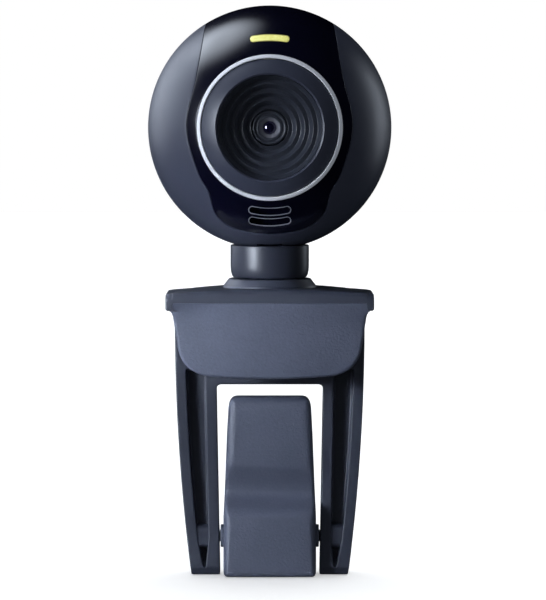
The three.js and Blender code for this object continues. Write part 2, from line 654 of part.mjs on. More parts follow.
function bridge() {
  const top = steps(BRIDGE_HALF, -BRIDGE_HALF, 12).map((x) =>
    [x, plateTopZ - PLATE_CAMBER * (x / BRIDGE_HALF) ** 2]);
  const foot = BRIDGE_HALF - RUN;
  const archOutline = shapeOf([...top, [-foot, earBottomZ], [foot, earBottomZ]]);
  const arch = frontView(archOutline, -BRIDGE_FRONT, BRIDGE_BACK);
  const plate = sideView(bridgeSide(), -BRIDGE_HALF, BRIDGE_HALF).intersect(arch);
  const trimmed = plate.intersect(planView(bridgePlan(), earBottomZ, plateTopZ + OVERCUT));
  const earFront = -BRIDGE_FRONT + 0.2;
  const ears = box([-foot, foot], [earFront, earFront + EAR_DEPTH], [earBottomZ, plateUnderZ + 1]);
  const betweenEars = box([EAR_WIDTH - BRIDGE_HALF, BRIDGE_HALF - EAR_WIDTH], [-BRIDGE_FRONT, 0],
    [earBottomZ - OVERCUT, lipTopZ + FIT]);
  const bossTopR = neckBaseR + BOSS_SHELF;
  const bossR = bossTopR + BOSS_FLARE;
  const boss = turnedUpright([
    [0, plateUnderZ + 1.5], [bossR, plateUnderZ + 1.5], [bossR, plateTopZ + 0.1], [bossTopR, bossTopZ],
    [0, bossTopZ],
  ]);
  const made = join(trimmed, cut(ears, betweenEars), ...bothSides(lug()), boss);

  const ribGroove = box([-lipRib.half - FIT, lipRib.half + FIT], [lipRib.y[0] - FIT, lipRib.y[1] + FIT],
    [lipTopZ - OVERCUT, lipRib.z[1] + FIT]);
  const swivelHole = rodZ(SPIGOT_R + FIT, plateUnderZ - OVERCUT, bossTopZ + OVERCUT, 0, 0, MEDIUM_FACETS);
  const recessTopZ = plateUnderZ + SWIVEL_RECESS;
  const recess = rodZ(SWIVEL_RECESS_R, plateUnderZ - OVERCUT, recessTopZ, 0, 0, MEDIUM_FACETS);
  const pinHole = rodX(PIN_R + FIT, -lugOut - OVERCUT, lugOut + OVERCUT, HINGE_Y, HINGE_Z);
  return cut(made, ribGroove, swivelHole, recess, pinHole);
}

// Its front view: shoulders under the bridge's ears, then sides that round into the lower edge.
function lipOutline() {
  const shoulder = BRIDGE_HALF - EAR_WIDTH - FIT;
  const shoulderZ = earBottomZ - FIT;
  const edge = new THREE.Path();
  edge.moveTo(0, lipTopZ);
  edge.lineTo(shoulder, lipTopZ);
  edge.lineTo(shoulder, shoulderZ);
  edge.lineTo(BRIDGE_HALF - 0.6, shoulderZ);
  edge.quadraticCurveTo(BRIDGE_HALF - 1.7, shoulderZ - 0.35, BRIDGE_HALF - 1.85, shoulderZ - 1.85);
  edge.lineTo(BRIDGE_HALF - 3.2, lipBottomZ + 6.4);
  edge.bezierCurveTo(BRIDGE_HALF - 4.4, lipBottomZ + 0.6, BRIDGE_HALF - 10, lipBottomZ + 0.4, 0, lipBottomZ);
  return mirrored(edge.getPoints(5).map(({ x, y }) => [x, y]));
}

function frontLip() {
  const face = steps(-BRIDGE_HALF, BRIDGE_HALF, 10).map((x) =>
    [x, lipFaceY + LIP_CROWN * (x / BRIDGE_HALF) ** 2]);
  const plan = shapeOf([[BRIDGE_HALF, lipBackY], [-BRIDGE_HALF, lipBackY], ...face]);
  const slab = planView(plan, lipBottomZ - OVERCUT, lipTopZ);
  const plate = slab.intersect(frontView(lipOutline(), -BRIDGE_FRONT, 0));
  // A rib along the top seats in a groove under the bridge's roll.
  return join(plate, box([-lipRib.half, lipRib.half], lipRib.y, lipRib.z));
}

function lipPad() {
  const outline = roundedPlate(BRIDGE_HALF - 10.4, lipBottomZ + 3.2, lipTopZ - 3, 1.5);
  return frontView(outline, lipBackY + TOUCH, lipBackY + PAD_THICK, 3);
}

function bridgePad() {
  const outline = roundedPlate(lugOut + 0.3, lipBackY + PAD_THICK + 1, HINGE_Y - HINGE_R - 0.6, 1.5);
  return planView(outline, plateUnderZ - PAD_THICK, plateUnderZ - TOUCH, 3);
}

function hingeWasher() {
  const from = lugOut + 0.1;
  const disc = rodX(HINGE_R - 0.5, from, from + HINGE_WASHER, HINGE_Y, HINGE_Z);
  return cut(disc, rodX(PIN_R + FIT, from - OVERCUT, from + OVERCUT, HINGE_Y, HINGE_Z));
}

// ---------------------------------------------------------------- legs and foot

// Middle of the frame's depth, half its width and half the window's width, at a height.
const legY = (z) => TOE_Y + (HINGE_Y - TOE_Y) * (z / HINGE_Z) ** 1.15;
const legHalf = (z) => legHalfFoot + (legHalfTop - legHalfFoot) * (1 - (1 - z / HINGE_Z) ** 2.1);
const windowHalf = (z) => windowHalfFoot + (WINDOW_FLARE * z) / windowTopZ;

// Its front view: two legs and a crossbar, with a knuckle at the top of each leg.
function legOutline() {
  const legs = steps(HINGE_Z, 1.2, 9).map((z) => [legHalf(z), z]);
  const kneeZ = HINGE_Z - KNEE_DROP;
  const r = WINDOW_CORNER;
  const right = [
    [0, crossbarTopZ], [windowHalfTop - 1.5, crossbarTopZ], [windowHalfTop, crossbarTopZ + 1.5],
    [lugIn + 0.7, kneeZ - 0.8], [knuckleIn, kneeZ], [knuckleIn, HINGE_Z + HINGE_R],
    [legHalfTop, HINGE_Z + HINGE_R], ...legs, [legHalfFoot - 0.9, 0], [windowHalfFoot, 0],
    [windowHalfTop, windowTopZ - r], [windowHalfTop - 0.3 * r, windowTopZ - 0.3 * r],
    [windowHalfTop - r, windowTopZ], [0, windowTopZ],
  ];
  return mirrored(right);
}

// Its side view: a gentle curve from the round knuckle down to the toes.
function legSide() {
  const half = LEG_DEPTH / 2;
  const levels = steps(1.8, HINGE_Z - 4, 7);
  const knuckle = steps(0, Math.PI, 8).map((turn) =>
    [HINGE_Y + HINGE_R * Math.cos(turn), HINGE_Z + HINGE_R * Math.sin(turn)]);
  return shapeOf([
    [legY(0) - half + 1.5, 0], [legY(0) + half - 0.6, 0], ...levels.map((z) => [legY(z) + half, z]),
    ...knuckle, ...[...levels].reverse().map((z) => [legY(z) - half, z]),
  ]);
}

// The groove down the front of a leg, between the two flanges of its channel.
function legGroove() {
  const levels = steps(crossbarTopZ - 1, GROOVE_END_Z + 6, 5);
  const tip = (legHalfFoot + windowHalfFoot) / 2;
  const outline = shapeOf([
    ...levels.map((z) => [legHalf(z) - GROOVE_WALL, z]), [tip + 0.6, GROOVE_END_Z], [tip - 0.6, GROOVE_END_Z],
    ...[...levels].reverse().map((z) => [windowHalf(z) + GROOVE_WALL, z]),
  ]);
  const far = 3 * LEG_DEPTH;
  const floor = levels.map((z) => [legY(z) - LEG_DEPTH / 2 + GROOVE_DEPTH, z]);
  const lowestY = legY(0) - LEG_DEPTH / 2 + GROOVE_DEPTH;
  const ahead = sideView(shapeOf([[-far, crossbarTopZ], ...floor, [lowestY, 0], [-far, 0]]), 0, legHalfTop);
  return frontView(outline, -far, far).intersect(ahead);
}

function legFrame() {
  const far = 3 * LEG_DEPTH;
  const blank = frontView(legOutline(), -far, far).intersect(sideView(legSide(), -legHalfTop, legHalfTop));
  const bossOut = legHalfFoot - 1;
  const pivotBosses = rodX(PIVOT_BOSS_R, -bossOut, bossOut, PIVOT_Y, PIVOT_Z, MEDIUM_FACETS).intersect(blank);
  const hingeHole = rodX(PIN_R + FIT, -BRIDGE_HALF, BRIDGE_HALF, HINGE_Y, HINGE_Z);
  const pivotOut = legHalfFoot - 1.5;
  const pivotHole = rodX(PIVOT_PIN_R + FIT, -pivotOut, pivotOut, PIVOT_Y, PIVOT_Z);
  return cut(join(cut(blank, ...bothSides(legGroove())), pivotBosses), hingeHole, pivotHole);
}

function pin(r, half, y, z) {
  return rodX(r, -half, half, y, z);
}

// The foot's front view.
function footOutline() {
  const halfTop = FOOT_HALF_BASE - FOOT_TAPER;
  const edge = new THREE.Path();
  edge.moveTo(0, footTopZ);
  edge.lineTo(halfTop - 2.6, footTopZ);
  edge.quadraticCurveTo(halfTop, footTopZ, halfTop + 0.35, footTopZ - 4);
  edge.lineTo(FOOT_HALF_BASE, footTopZ / 3);
  edge.lineTo(FOOT_HALF_BASE, 1.2);
  edge.quadraticCurveTo(FOOT_HALF_BASE, 0, FOOT_HALF_BASE - 0.8, 0);
  edge.lineTo(0, 0);
  return mirrored(edge.getPoints(4).map(({ x, y }) => [x, y]));
}

// Its side view: a thick base, a crisp ridge, a dip above it and a thin paddle.
function footSide() {
  const top = footTopZ;
  const backY = PIVOT_Y + 4;
  const side = new THREE.Shape();
  side.moveTo(FOOT_FLAT_Y[0], 0);
  side.quadraticCurveTo(-5.1, 0, -5.1, 1.8);
  side.quadraticCurveTo(-4.8, 12, -1.9, top * 0.5);
  side.quadraticCurveTo(-0.2, top * 0.53, -0.1, top * 0.58);
  side.quadraticCurveTo(-0.2, top * 0.66, -1, top * 0.74);
  side.lineTo(0.4, top - 1.8);
  side.quadraticCurveTo(0.7, top, 2, top);
  side.lineTo(3.4, top);
  side.quadraticCurveTo(4.6, top, 4.6, top - 1.5);
  side.lineTo(4.4, top * 0.66);
  side.quadraticCurveTo(backY - 0.8, top * 0.5, backY, PIVOT_Z + 2);
  side.quadraticCurveTo(backY, 1.5, FOOT_FLAT_Y[1], 0);
  return side;
}

// The rubber strip let into the underside of the foot, or with a gap, its recess.
function sole(gap, from) {
  const half = FOOT_HALF_BASE - 2 + gap;
  const y = [FOOT_FLAT_Y[0] + SOLE_RIM - gap, FOOT_FLAT_Y[1] - SOLE_RIM + gap];
  return box([-half, half], y, [from, SOLE_THICK + gap]);
}

function foot() {
  const half = FOOT_HALF_BASE + OVERCUT;
  const paddle = frontView(footOutline(), -10, 12).intersect(sideView(footSide(), -half, half, 5));
  const hubHalf = FOOT_HALF_BASE + FOOT_GAP - FIT;
  const hubs = rodX(HUB_R, -hubHalf, hubHalf, PIVOT_Y, PIVOT_Z, MEDIUM_FACETS);
  const pinHole = rodX(PIVOT_PIN_R + FIT, -2 * half, 2 * half, PIVOT_Y, PIVOT_Z);
  return cut(join(paddle, hubs), pinHole, sole(FIT, -OVERCUT));
}

// ---------------------------------------------------------------- assembly

const head = new THREE.Group();
head.position.z = headZ;
head.add(
  piece("head_shell_front", frontShell(), looks.satinBlack),
  piece("head_shell_rear", rearShell(), looks.satinBlack),
  piece("face_panel", facePanel(), looks.glossBlack),
  piece("lens_trim_ring", trimRing(), looks.silver),
  piece("status_light_guide", lightGuide(), looks.light),
  piece("status_led", block(LED, boardFrontY - TOUCH, ledZ, false), looks.component),
  piece("microphone", microphone(), looks.steel),
  piece("microphone_boot", microphoneBoot(), looks.rubber),
  piece("circuit_board", circuitBoard(), looks.board),
  piece("lens_holder", lensHolder(), looks.component),
  piece("image_sensor", block(SENSOR, boardFrontY - TOUCH, 0, false), looks.component),
  piece("controller_chip", block(CHIP, boardBackY + TOUCH, 2, true), looks.component),
  piece("cable_socket", block(SOCKET, boardBackY + TOUCH, -8.7, true), looks.component),
  piece("cable_gland", cableGland(), looks.rubber),
  piece("focus_ring", focusRing(), looks.satinBlack),
  piece("lens_hood", lensHood(), looks.hoodBlack),
  piece("lens_barrel", lensBarrel(), looks.component),
  piece("front_lens", frontLens(), looks.glass),
);
boardScrewSpots.forEach(([x, z], i) => {
  head.add(piece(`board_screw_${i + 1}`, screwForwards(5, x, boardBackY, z), looks.steel));
});
[-shellScrewX, shellScrewX].forEach((x, i) => {
  const made = screwForwards(9, x, SHELL_SCREW.seatY, SHELL_SCREW.z);
  head.add(piece(`shell_screw_${i + 1}`, made, looks.steel));
});

const webcam = new THREE.Group();
webcam.name = "webcam";
webcam.add(
  head,
  piece("neck", neck(), looks.glossBlack),
  piece("tilt_clamp", tiltClamp(), looks.steel),
  piece("tilt_spring_washer", waveWasher(), looks.steel),
  piece("tilt_screw", tiltScrew(), looks.steel),
  piece("swivel_washer", swivelWasher(), looks.steel),
  piece("swivel_screw", swivelScrew(), looks.steel),
  piece("clip_bridge", bridge(), looks.clipPlastic),
  piece("front_lip", frontLip(), looks.grainedPlastic),
  piece("lip_pad", lipPad(), looks.rubber),
  piece("bridge_pad", bridgePad(), looks.rubber),
  piece("leg_hinge_pin", pin(PIN_R, legHalfTop - 0.4, HINGE_Y, HINGE_Z), looks.steel),
  piece("leg_frame", legFrame(), looks.clipPlastic),
  piece("foot_pivot_pin", pin(PIVOT_PIN_R, legHalfFoot - 1.7, PIVOT_Y, PIVOT_Z), looks.steel),
  piece("foot", foot(), looks.grainedPlastic),
  piece("foot_sole", sole(0, 0), looks.rubber),
);
bothSides(hingeWasher()).forEach((made, i) => {
  webcam.add(piece(["hinge_washer_right", "hinge_washer_left"][i], made, looks.steel));
});

export default webcam;
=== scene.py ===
import json
import math

import bmesh
import bpy
import numpy as np
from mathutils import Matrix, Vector


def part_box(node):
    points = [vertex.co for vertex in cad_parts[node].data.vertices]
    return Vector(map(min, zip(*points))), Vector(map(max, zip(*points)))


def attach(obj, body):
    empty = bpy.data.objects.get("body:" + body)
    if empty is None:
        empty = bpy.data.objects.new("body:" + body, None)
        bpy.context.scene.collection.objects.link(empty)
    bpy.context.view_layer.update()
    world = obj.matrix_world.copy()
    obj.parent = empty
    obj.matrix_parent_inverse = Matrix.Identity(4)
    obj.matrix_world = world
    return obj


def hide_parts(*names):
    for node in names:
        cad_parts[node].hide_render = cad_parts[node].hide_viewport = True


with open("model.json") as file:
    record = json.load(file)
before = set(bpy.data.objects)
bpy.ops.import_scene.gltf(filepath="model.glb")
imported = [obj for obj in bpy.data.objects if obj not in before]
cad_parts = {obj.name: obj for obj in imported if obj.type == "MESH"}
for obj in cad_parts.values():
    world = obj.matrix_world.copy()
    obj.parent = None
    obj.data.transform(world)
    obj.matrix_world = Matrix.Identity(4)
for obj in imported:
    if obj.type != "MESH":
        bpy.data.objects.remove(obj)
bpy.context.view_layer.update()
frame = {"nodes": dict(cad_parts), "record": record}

MM = 0.001  # every length below is in millimetres until it reaches a mesh
TAU = 2 * math.pi

# ---------- places, from the CAD frame


def box(node):
    """Lowest and highest corner of a CAD node, in millimetres."""
    low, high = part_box(node)
    return np.array(low) / MM, np.array(high) / MM


BODY_OF = {n: b for b, ns in frame["record"]["behaviour"]["bodies"].items() for n in ns}

trim_lo, trim_hi = box("lens_trim_ring")
_, shell_hi = box("head_shell_front")
HEAD = np.array((0, 0, (trim_lo[2] + trim_hi[2]) / 2))  # the ball's centre, on the lens axis
R = shell_hi[0]  # the ball's radius
SEAM_Y = shell_hi[1]  # where the front shell ends
WALL = 2.0  # of the shells and the face panel
SEAM = 0.12  # gap between the front shell and the face panel
EDGE = 0.14  # rounding of the skin's edges
FIT = 0.15  # gap round a piece that seats in another
RUN = 0.3  # gap round a piece that moves past another
POST_R = 2.8  # of the neck's post, which passes into the ball
TRIM_R = trim_hi[0]  # the silver ring's outer radius
TRIM_WIDTH = 0.95

# ---------- mesh tools


def placed(name, data):
    obj = bpy.data.objects.new(name, data)
    bpy.context.scene.collection.objects.link(obj)
    return obj


def make(name, verts, faces):
    """A mesh object from points in millimetres."""
    mesh = bpy.data.meshes.new(name)
    mesh.from_pydata((np.asarray(verts, float).reshape(-1, 3) * MM).tolist(), [], faces)
    return cleaned(placed(name, mesh))


def cleaned(obj, weld=2e-6):
    """Welds the points that meet, drops the faces with no area and turns the others out."""
    bm = bmesh.new()
    bm.from_mesh(obj.data)
    bmesh.ops.remove_doubles(bm, verts=bm.verts, dist=weld)
    bmesh.ops.dissolve_degenerate(bm, edges=bm.edges, dist=weld / 4)
    bmesh.ops.recalc_face_normals(bm, faces=bm.faces)
    bm.to_mesh(obj.data)
    bm.free()
    return obj


def xyz(x, y, z):
    """Points from their coordinates, each a number or an array."""
    return np.stack(np.broadcast_arrays(x, y, z), -1)


def sheet(rows, cols, wrap_rows=False, wrap_cols=False, start=0):
    """Quads over a grid of points stored row by row."""
    faces = []
    for i in range(rows if wrap_rows else rows - 1):
        for j in range(cols if wrap_cols else cols - 1):
            k, m = (i + 1) % rows, (j + 1) % cols
            corners = (i * cols + j, i * cols + m, k * cols + m, k * cols + j)
            faces.append(tuple(start + at for at in corners))
    return faces


QUARTER_TURN = 0.5523  # length of a cubic curve's handle that makes it nearly a quarter circle


def rounded(corners, steps=4, closed=True):
    """An outline of (a, b, radius) corners with each corner rounded off."""
    outline = []
    count = len(corners)
    for i, (a, b, r) in enumerate(corners):
        at = np.array((a, b), float)
        if r == 0 or (not closed and i in (0, count - 1)):
            outline.append(at)
            continue
        before = np.array(corners[i - 1][:2], float) - at
        after = np.array(corners[(i + 1) % count][:2], float) - at
        lb, la = np.linalg.norm(before), np.linalg.norm(after)
        before, after = before / max(lb, 1e-9), after / max(la, 1e-9)
        half = 0.5 * math.acos(max(-1, min(1, float(before @ after))))
        reach = min(r / max(math.tan(half), 1e-3), 0.47 * lb, 0.47 * la)
        start, end = at + before * reach, at + after * reach
        c1, c2 = start + (at - start) * QUARTER_TURN, end + (at - end) * QUARTER_TURN
        for t in np.linspace(0, 1, steps + 1):
            outline.append(
                (1 - t) ** 3 * start + 3 * (1 - t) ** 2 * t * c1 + 3 * (1 - t) * t * t * c2 + t ** 3 * end
            )
    return np.array(outline)


def lathe(name, outline, centre=(0, 0, 0), axis="Y", count=128):
    """Turns an outline of (radius, along) points. It is closed unless it starts and ends on the axis."""
    outline = np.array(outline, float)
    open_ends = outline[0][0] == 0 and outline[-1][0] == 0
    turns = np.linspace(0, TAU, count, endpoint=False)[:, None]
    c, s = outline[:, 0] * np.cos(turns), outline[:, 0] * np.sin(turns)
    where = outline[:, 1]
    verts = xyz(*{"X": (where, c, s), "Y": (c, where, s), "Z": (c, s, where)}[axis]) + np.array(centre)
    return make(name, verts, sheet(count, len(outline), True, not open_ends))


def loft(name, sections):
    """A closed solid through closed loops that have the same number of points."""
    rows, cols = len(sections), len(sections[0])
    faces = sheet(rows, cols, wrap_cols=True)
    faces.append(tuple(range(cols))[::-1])
    faces.append(tuple(range((rows - 1) * cols, rows * cols)))
    return make(name, np.concatenate(sections), faces)


def band(name, sections):
    """A closed ring through closed loops, the last of which meets the first."""
    return make(name, np.concatenate(sections), sheet(len(sections), len(sections[0]), True, True))


def combine(obj, tools, how, solver="MANIFOLD"):
    """Adds the tools to obj, or cuts them out of it, and removes them."""
    for tool in tools:
        step = obj.modifiers.new("combine", "BOOLEAN")
        step.operation, step.object, step.solver = how, tool, solver
        graph = bpy.context.evaluated_depsgraph_get()
        made = bpy.data.meshes.new_from_object(obj.evaluated_get(graph))
        obj.modifiers.clear()
        obj.data = made
        bpy.data.objects.remove(tool)
    return cleaned(obj)


def mirrored(obj, name):
    """A copy of obj on the other side of the plane x = 0."""
    twin = placed(name, obj.data.copy())
    for v in twin.data.vertices:
        v.co.x = -v.co.x
    twin.data.flip_normals()
    return twin


def bar(width, height, z, sag, count=20):
    """A level bar's outline (x, z) with round ends, whose ends lie higher than its middle by sag."""
    r = height / 2
    half = width / 2 - r
    xs = np.linspace(-half, half, count)
    bow = z + sag * (xs / half) ** 2
    turns = np.linspace(-math.pi / 2, math.pi / 2, 12)[1:-1]
    right = np.stack((half + r * np.cos(turns), z + sag + r * np.sin(turns)), 1)
    left = np.stack((-half - r * np.cos(turns), z + sag - r * np.sin(turns)), 1)
    low, high = np.stack((xs, bow - r), 1), np.stack((xs, bow + r), 1)[::-1]
    return np.concatenate((low, right, high, left))


def circle(a, b, r, count=40):
    """A circle's outline about the point (a, b)."""
    turns = np.linspace(0, TAU, count, endpoint=False)
    return np.stack((a + r * np.cos(turns), b + r * np.sin(turns)), 1)


def ball_front(outline, under=0.0):
    """y of the ball's front under a front view (x, z), or of a ball whose radius is less by under."""
    return -np.sqrt((R - under) ** 2 - outline[:, 0] ** 2 - outline[:, 1] ** 2)


def front_loop(outline, y):
    """A front view (x, z) at y, about the ball's centre."""
    return xyz(outline[:, 0], y, outline[:, 1]) + HEAD


def front_prism(name, outline, y0, y1):
    """A front view (x, z) from y0 to y1, about the ball's centre."""
    return loft(name, [front_loop(outline, y) for y in (y0, y1)])


# ---------- materials


class Nodes:
    """Shorthand for building the node tree of a material, a light or the world."""

    def __init__(self, owner, shader):
        owner.use_nodes = True
        self.owner = owner
        self.tree = owner.node_tree
        self.shader = self.tree.nodes[shader]

    def fill(self, socket, value):
        if isinstance(value, bpy.types.NodeSocket):
            self.tree.links.new(value, socket)
        else:
            socket.default_value = value

    def add(self, kind, **inputs):
        """Adds a node. _name sets a property, i2 fills input number 2 and A_Name the input of that name."""
        node = self.tree.nodes.new(kind)
        for key, value in inputs.items():
            if key.startswith("_"):
                setattr(node, key[1:], value)
            elif key[0] == "i" and key[1:].isdigit():
                self.fill(node.inputs[int(key[1:])], value)
            else:
                self.fill(node.inputs[key.replace("_", " ")], value)
        return node

    def set(self, **values):
        """Fills the shader's own inputs."""
        for key, value in values.items():
            self.fill(self.shader.inputs[key.replace("_", " ")], value)

    def vector(self, how, a, b=(0, 0, 0), out=0):
        return self.add("ShaderNodeVectorMath", _operation=how, i0=a, i1=b).outputs[out]


class Surface(Nodes):
    """A material, with the noises and blends that the looks share. Noises are in the object's own space."""

    def __init__(self, name):
        super().__init__(bpy.data.materials.new(name), "Principled BSDF")
        self.place = self.add("ShaderNodeTexCoord").outputs["Object"]

    def noise(self, scale, detail=3.0, rough=0.55, stretch=None):
        place = self.place
        if stretch:
            place = self.add("ShaderNodeMapping", Vector=place, Scale=stretch).outputs[0]
        node = self.add("ShaderNodeTexNoise", Vector=place, Scale=scale, Detail=detail, Roughness=rough)
        return node.outputs[0]

    def ramp(self, value, low, high, to_low=0.0, to_high=1.0):
        return self.add("ShaderNodeMapRange", i0=value, i1=low, i2=high, i3=to_low, i4=to_high).outputs[0]

    def mottled(self, scale, to_low=0.0, to_high=1.0, detail=3.0):
        return self.ramp(self.noise(scale, detail), 0.3, 0.7, to_low, to_high)

    def math(self, how, a, b=0.0):
        return self.add("ShaderNodeMath", _operation=how, i0=a, i1=b).outputs[0]

    def blend(self, share, a, b):
        a, b = [(*c, 1) if isinstance(c, tuple) else c for c in (a, b)]
        return self.add("ShaderNodeMix", _data_type="RGBA", i0=share, i6=a, i7=b).outputs[2]

    def bump(self, height, depth_mm, strength=1.0):
        inputs = {"Height": height, "Distance": depth_mm * MM, "Strength": strength}
        before = self.shader.inputs["Normal"].links
        if before:
            inputs["Normal"] = before[0].from_socket
        self.set(Normal=self.add("ShaderNodeBump", **inputs).outputs[0])


def scaled(colour, by, plus=0.0):
    return tuple(min(1, c * by + plus) for c in colour)


def moulded(name, colour, rough, grain_mm, grain_depth, spread=0.1, wear=0.25):
    """Moulded plastic: fine grain, faint mottling, uneven polish and slightly rubbed edges."""
    m = Surface(name)
    mottle = m.noise(140, 4)
    fine = m.noise(1 / (grain_mm * MM), 3, 0.6)
    base = m.blend(m.ramp(mottle, 0.3, 0.7), scaled(colour, 1 - spread), scaled(colour, 1 + spread))
    base = m.blend(m.math("MULTIPLY", m.ramp(fine, 0.35, 0.65), 0.25), base, scaled(colour, 1.5))
    edge = m.ramp(m.add("ShaderNodeNewGeometry").outputs["Pointiness"], 0.53, 0.62)
    rubbed = m.math("MULTIPLY", m.math("MULTIPLY", edge, m.mottled(700)), wear)
    uneven = m.ramp(mottle, 0.3, 0.7, rough - 0.04, rough + 0.04)
    m.set(Base_Color=m.blend(rubbed, base, scaled(colour, 2.4, 0.01)),
          Roughness=m.math("ADD", uneven, m.math("MULTIPLY", rubbed, -0.15)), Specular_IOR_Level=0.5)
    m.bump(fine, grain_depth)
    m.bump(m.noise(90, 2), 0.01, 0.5)
    return m.owner


def polished(name, dark, light, rough, coat):
    """Polished plastic: a deep even colour, hairline wipe marks and a trace of moulding ripple."""
    m = Surface(name)
    swirl = m.noise(900, 5, 0.6, (1, 1, 6))
    m.set(Base_Color=m.blend(m.mottled(60), dark, light),
          Roughness=m.ramp(swirl, 0.3, 0.75, rough - 0.03, rough + 0.03),
          Specular_IOR_Level=0.5 if coat else 0.32, Coat_Weight=coat, Coat_Roughness=0.12)
    m.bump(m.noise(240, 2), 0.0022, 0.6)
    return m.owner


def silver_ring():
    """Metallic paint with fine flakes under a thin lacquer."""
    m = Surface("silver_ring")
    flake = m.add("ShaderNodeTexVoronoi", Vector=m.place, Scale=9000.0).outputs["Color"]
    share = m.math("MULTIPLY", m.add("ShaderNodeSeparateColor", i0=flake).outputs[0], 0.35)
    m.set(Base_Color=m.blend(share, (0.60, 0.595, 0.62), (0.74, 0.735, 0.76)),
          Roughness=m.mottled(500, 0.40, 0.52), Specular_IOR_Level=0.4, Coat_Weight=0.1, Coat_Roughness=0.4)
    m.bump(m.noise(5200, 2), 0.003, 0.6)
    return m.owner


def hood_plastic():
    """Matt black with the fine turned rings that keep stray light out of the lens."""
    m = Surface("hood_plastic")
    ring_pitch = 0.34 * MM
    split = m.add("ShaderNodeSeparateXYZ", i0=m.vector("SUBTRACT", m.place, tuple(HEAD * MM))).outputs
    flat = m.add("ShaderNodeCombineXYZ", X=split[0], Y=0.0, Z=split[2]).outputs[0]
    radius = m.vector("LENGTH", flat, out="Value")
    rings = m.math("SINE", m.math("MULTIPLY", radius, TAU / ring_pitch))
    grain = m.noise(4200, 3, 0.6)
    colour = m.blend(m.ramp(grain, 0.3, 0.7), (0.018, 0.020, 0.028), (0.034, 0.038, 0.052))
    m.set(Base_Color=colour, Roughness=m.mottled(300, 0.32, 0.42), Specular_IOR_Level=0.85)
    m.bump(rings, 0.008, 0.7)
    m.bump(grain, 0.012, 0.8)
    return m.owner


def light_guide():
    """Clouded yellow plastic, faintly lit from behind."""
    m = Surface("light_guide")
    glow = m.blend(m.mottled(420), (0.68, 0.65, 0.18), (0.78, 0.75, 0.27))
    m.set(Base_Color=glow, Emission_Color=glow, Emission_Strength=0.40, Roughness=m.mottled(900, 0.2, 0.32),
          Specular_IOR_Level=0.5)
    m.bump(m.noise(1500, 2), 0.004, 0.5)
    return m.owner


def lens_glass():
    """Dark glass with a violet anti-glare coat and a trace of dust."""
    m = Surface("lens_glass")
    m.set(Base_Color=m.blend(m.mottled(350, detail=2), (0.006, 0.008, 0.014), (0.014, 0.012, 0.026)),
          Roughness=m.ramp(m.noise(2600, 4), 0.4, 0.8, 0.02, 0.06), Specular_IOR_Level=0.9, IOR=1.65,
          Coat_Weight=1.0, Coat_Roughness=0.02, Coat_IOR=1.9, Coat_Tint=(0.72, 0.62, 1.0, 1))
    return m.owner


def rubber():
    """Matt black rubber with a fine grain."""
    m = Surface("rubber")
    fine = m.noise(3600, 4, 0.65)
    m.set(Base_Color=m.blend(m.mottled(200, detail=4), (0.0085, 0.0085, 0.009), (0.016, 0.016, 0.017)),
          Roughness=m.ramp(fine, 0.3, 0.7, 0.72, 0.9), Specular_IOR_Level=0.35, Sheen_Weight=0.08,
          Sheen_Roughness=0.5)
    m.bump(fine, 0.02, 0.7)
    return m.owner


def board_laminate():
    """Green laminate with a fine weave and a web of raised tracks."""
    m = Surface("board_laminate")
    cells = m.add("ShaderNodeTexVoronoi", Vector=m.place, Scale=520.0, _feature="DISTANCE_TO_EDGE")
    tracks = m.ramp(cells.outputs[0], 0.03, 0.05, 1.0, 0.0)
    weave = m.noise(2600, 3)
    base = m.blend(m.ramp(weave, 0.3, 0.7), (0.006, 0.045, 0.018), (0.010, 0.066, 0.026))
    m.set(Base_Color=m.blend(tracks, base, (0.022, 0.12, 0.05)),
          Roughness=m.ramp(weave, 0.3, 0.7, 0.3, 0.45), Specular_IOR_Level=0.5)
    m.bump(tracks, 0.03, 0.6)
    return m.owner


def steel():
    """Bright steel, drawn along z."""
    m = Surface("steel")
    drawn = m.noise(1300, 4, 0.6, (1, 1, 7))
    m.set(Base_Color=m.blend(m.mottled(260, detail=4), (0.36, 0.36, 0.37), (0.52, 0.52, 0.53)),
          Roughness=m.ramp(drawn, 0.3, 0.7, 0.24, 0.42), Metallic=1.0)
    m.bump(drawn, 0.006, 0.5)
    return m.owner


# Colour, roughness, size and depth of the grain in mm, spread of the colour and wear of the edges.
MOULDED = {
    "satin_shell": ((0.030, 0.033, 0.051), 0.40, 0.16, 0.004, 0.06, 0.2),
    "clip_plastic": ((0.024, 0.027, 0.041), 0.46, 0.22, 0.008, 0.07, 0.3),
    "grained_plastic": ((0.054, 0.060, 0.088), 0.50, 0.62, 0.12, 0.1, 0.3),
    "component_black": ((0.010, 0.010, 0.011), 0.4, 0.2, 0.01),
}
# Darkest and lightest colour, roughness and strength of the clear coat.
POLISHED = {
    "gloss_panel": ((0.0012, 0.0012, 0.0055), (0.0022, 0.0022, 0.0085), 0.20, 0.25),
    # The lens rim is paler grey than the barrel: a painted highlight for the bright ring of reflection round
    # the glass.
    "lens_rim": ((0.13, 0.13, 0.15), (0.18, 0.18, 0.20), 0.25, 0.3),
    # The slots' lips are paler grey than the black panel: a painted highlight along the lips.
    "slot_edge": ((0.12, 0.125, 0.15), (0.17, 0.175, 0.20), 0.3, 0.2),
    "neck_gloss": ((0.016, 0.018, 0.027), (0.020, 0.022, 0.033), 0.38, 0.0),
}
OTHERS = (silver_ring, hood_plastic, light_guide, lens_glass, rubber, board_laminate, steel)
LOOKS = {name: moulded(name, *values) for name, values in MOULDED.items()}
LOOKS |= {name: polished(name, *values) for name, values in POLISHED.items()}
LOOKS |= {look.__name__: look() for look in OTHERS}


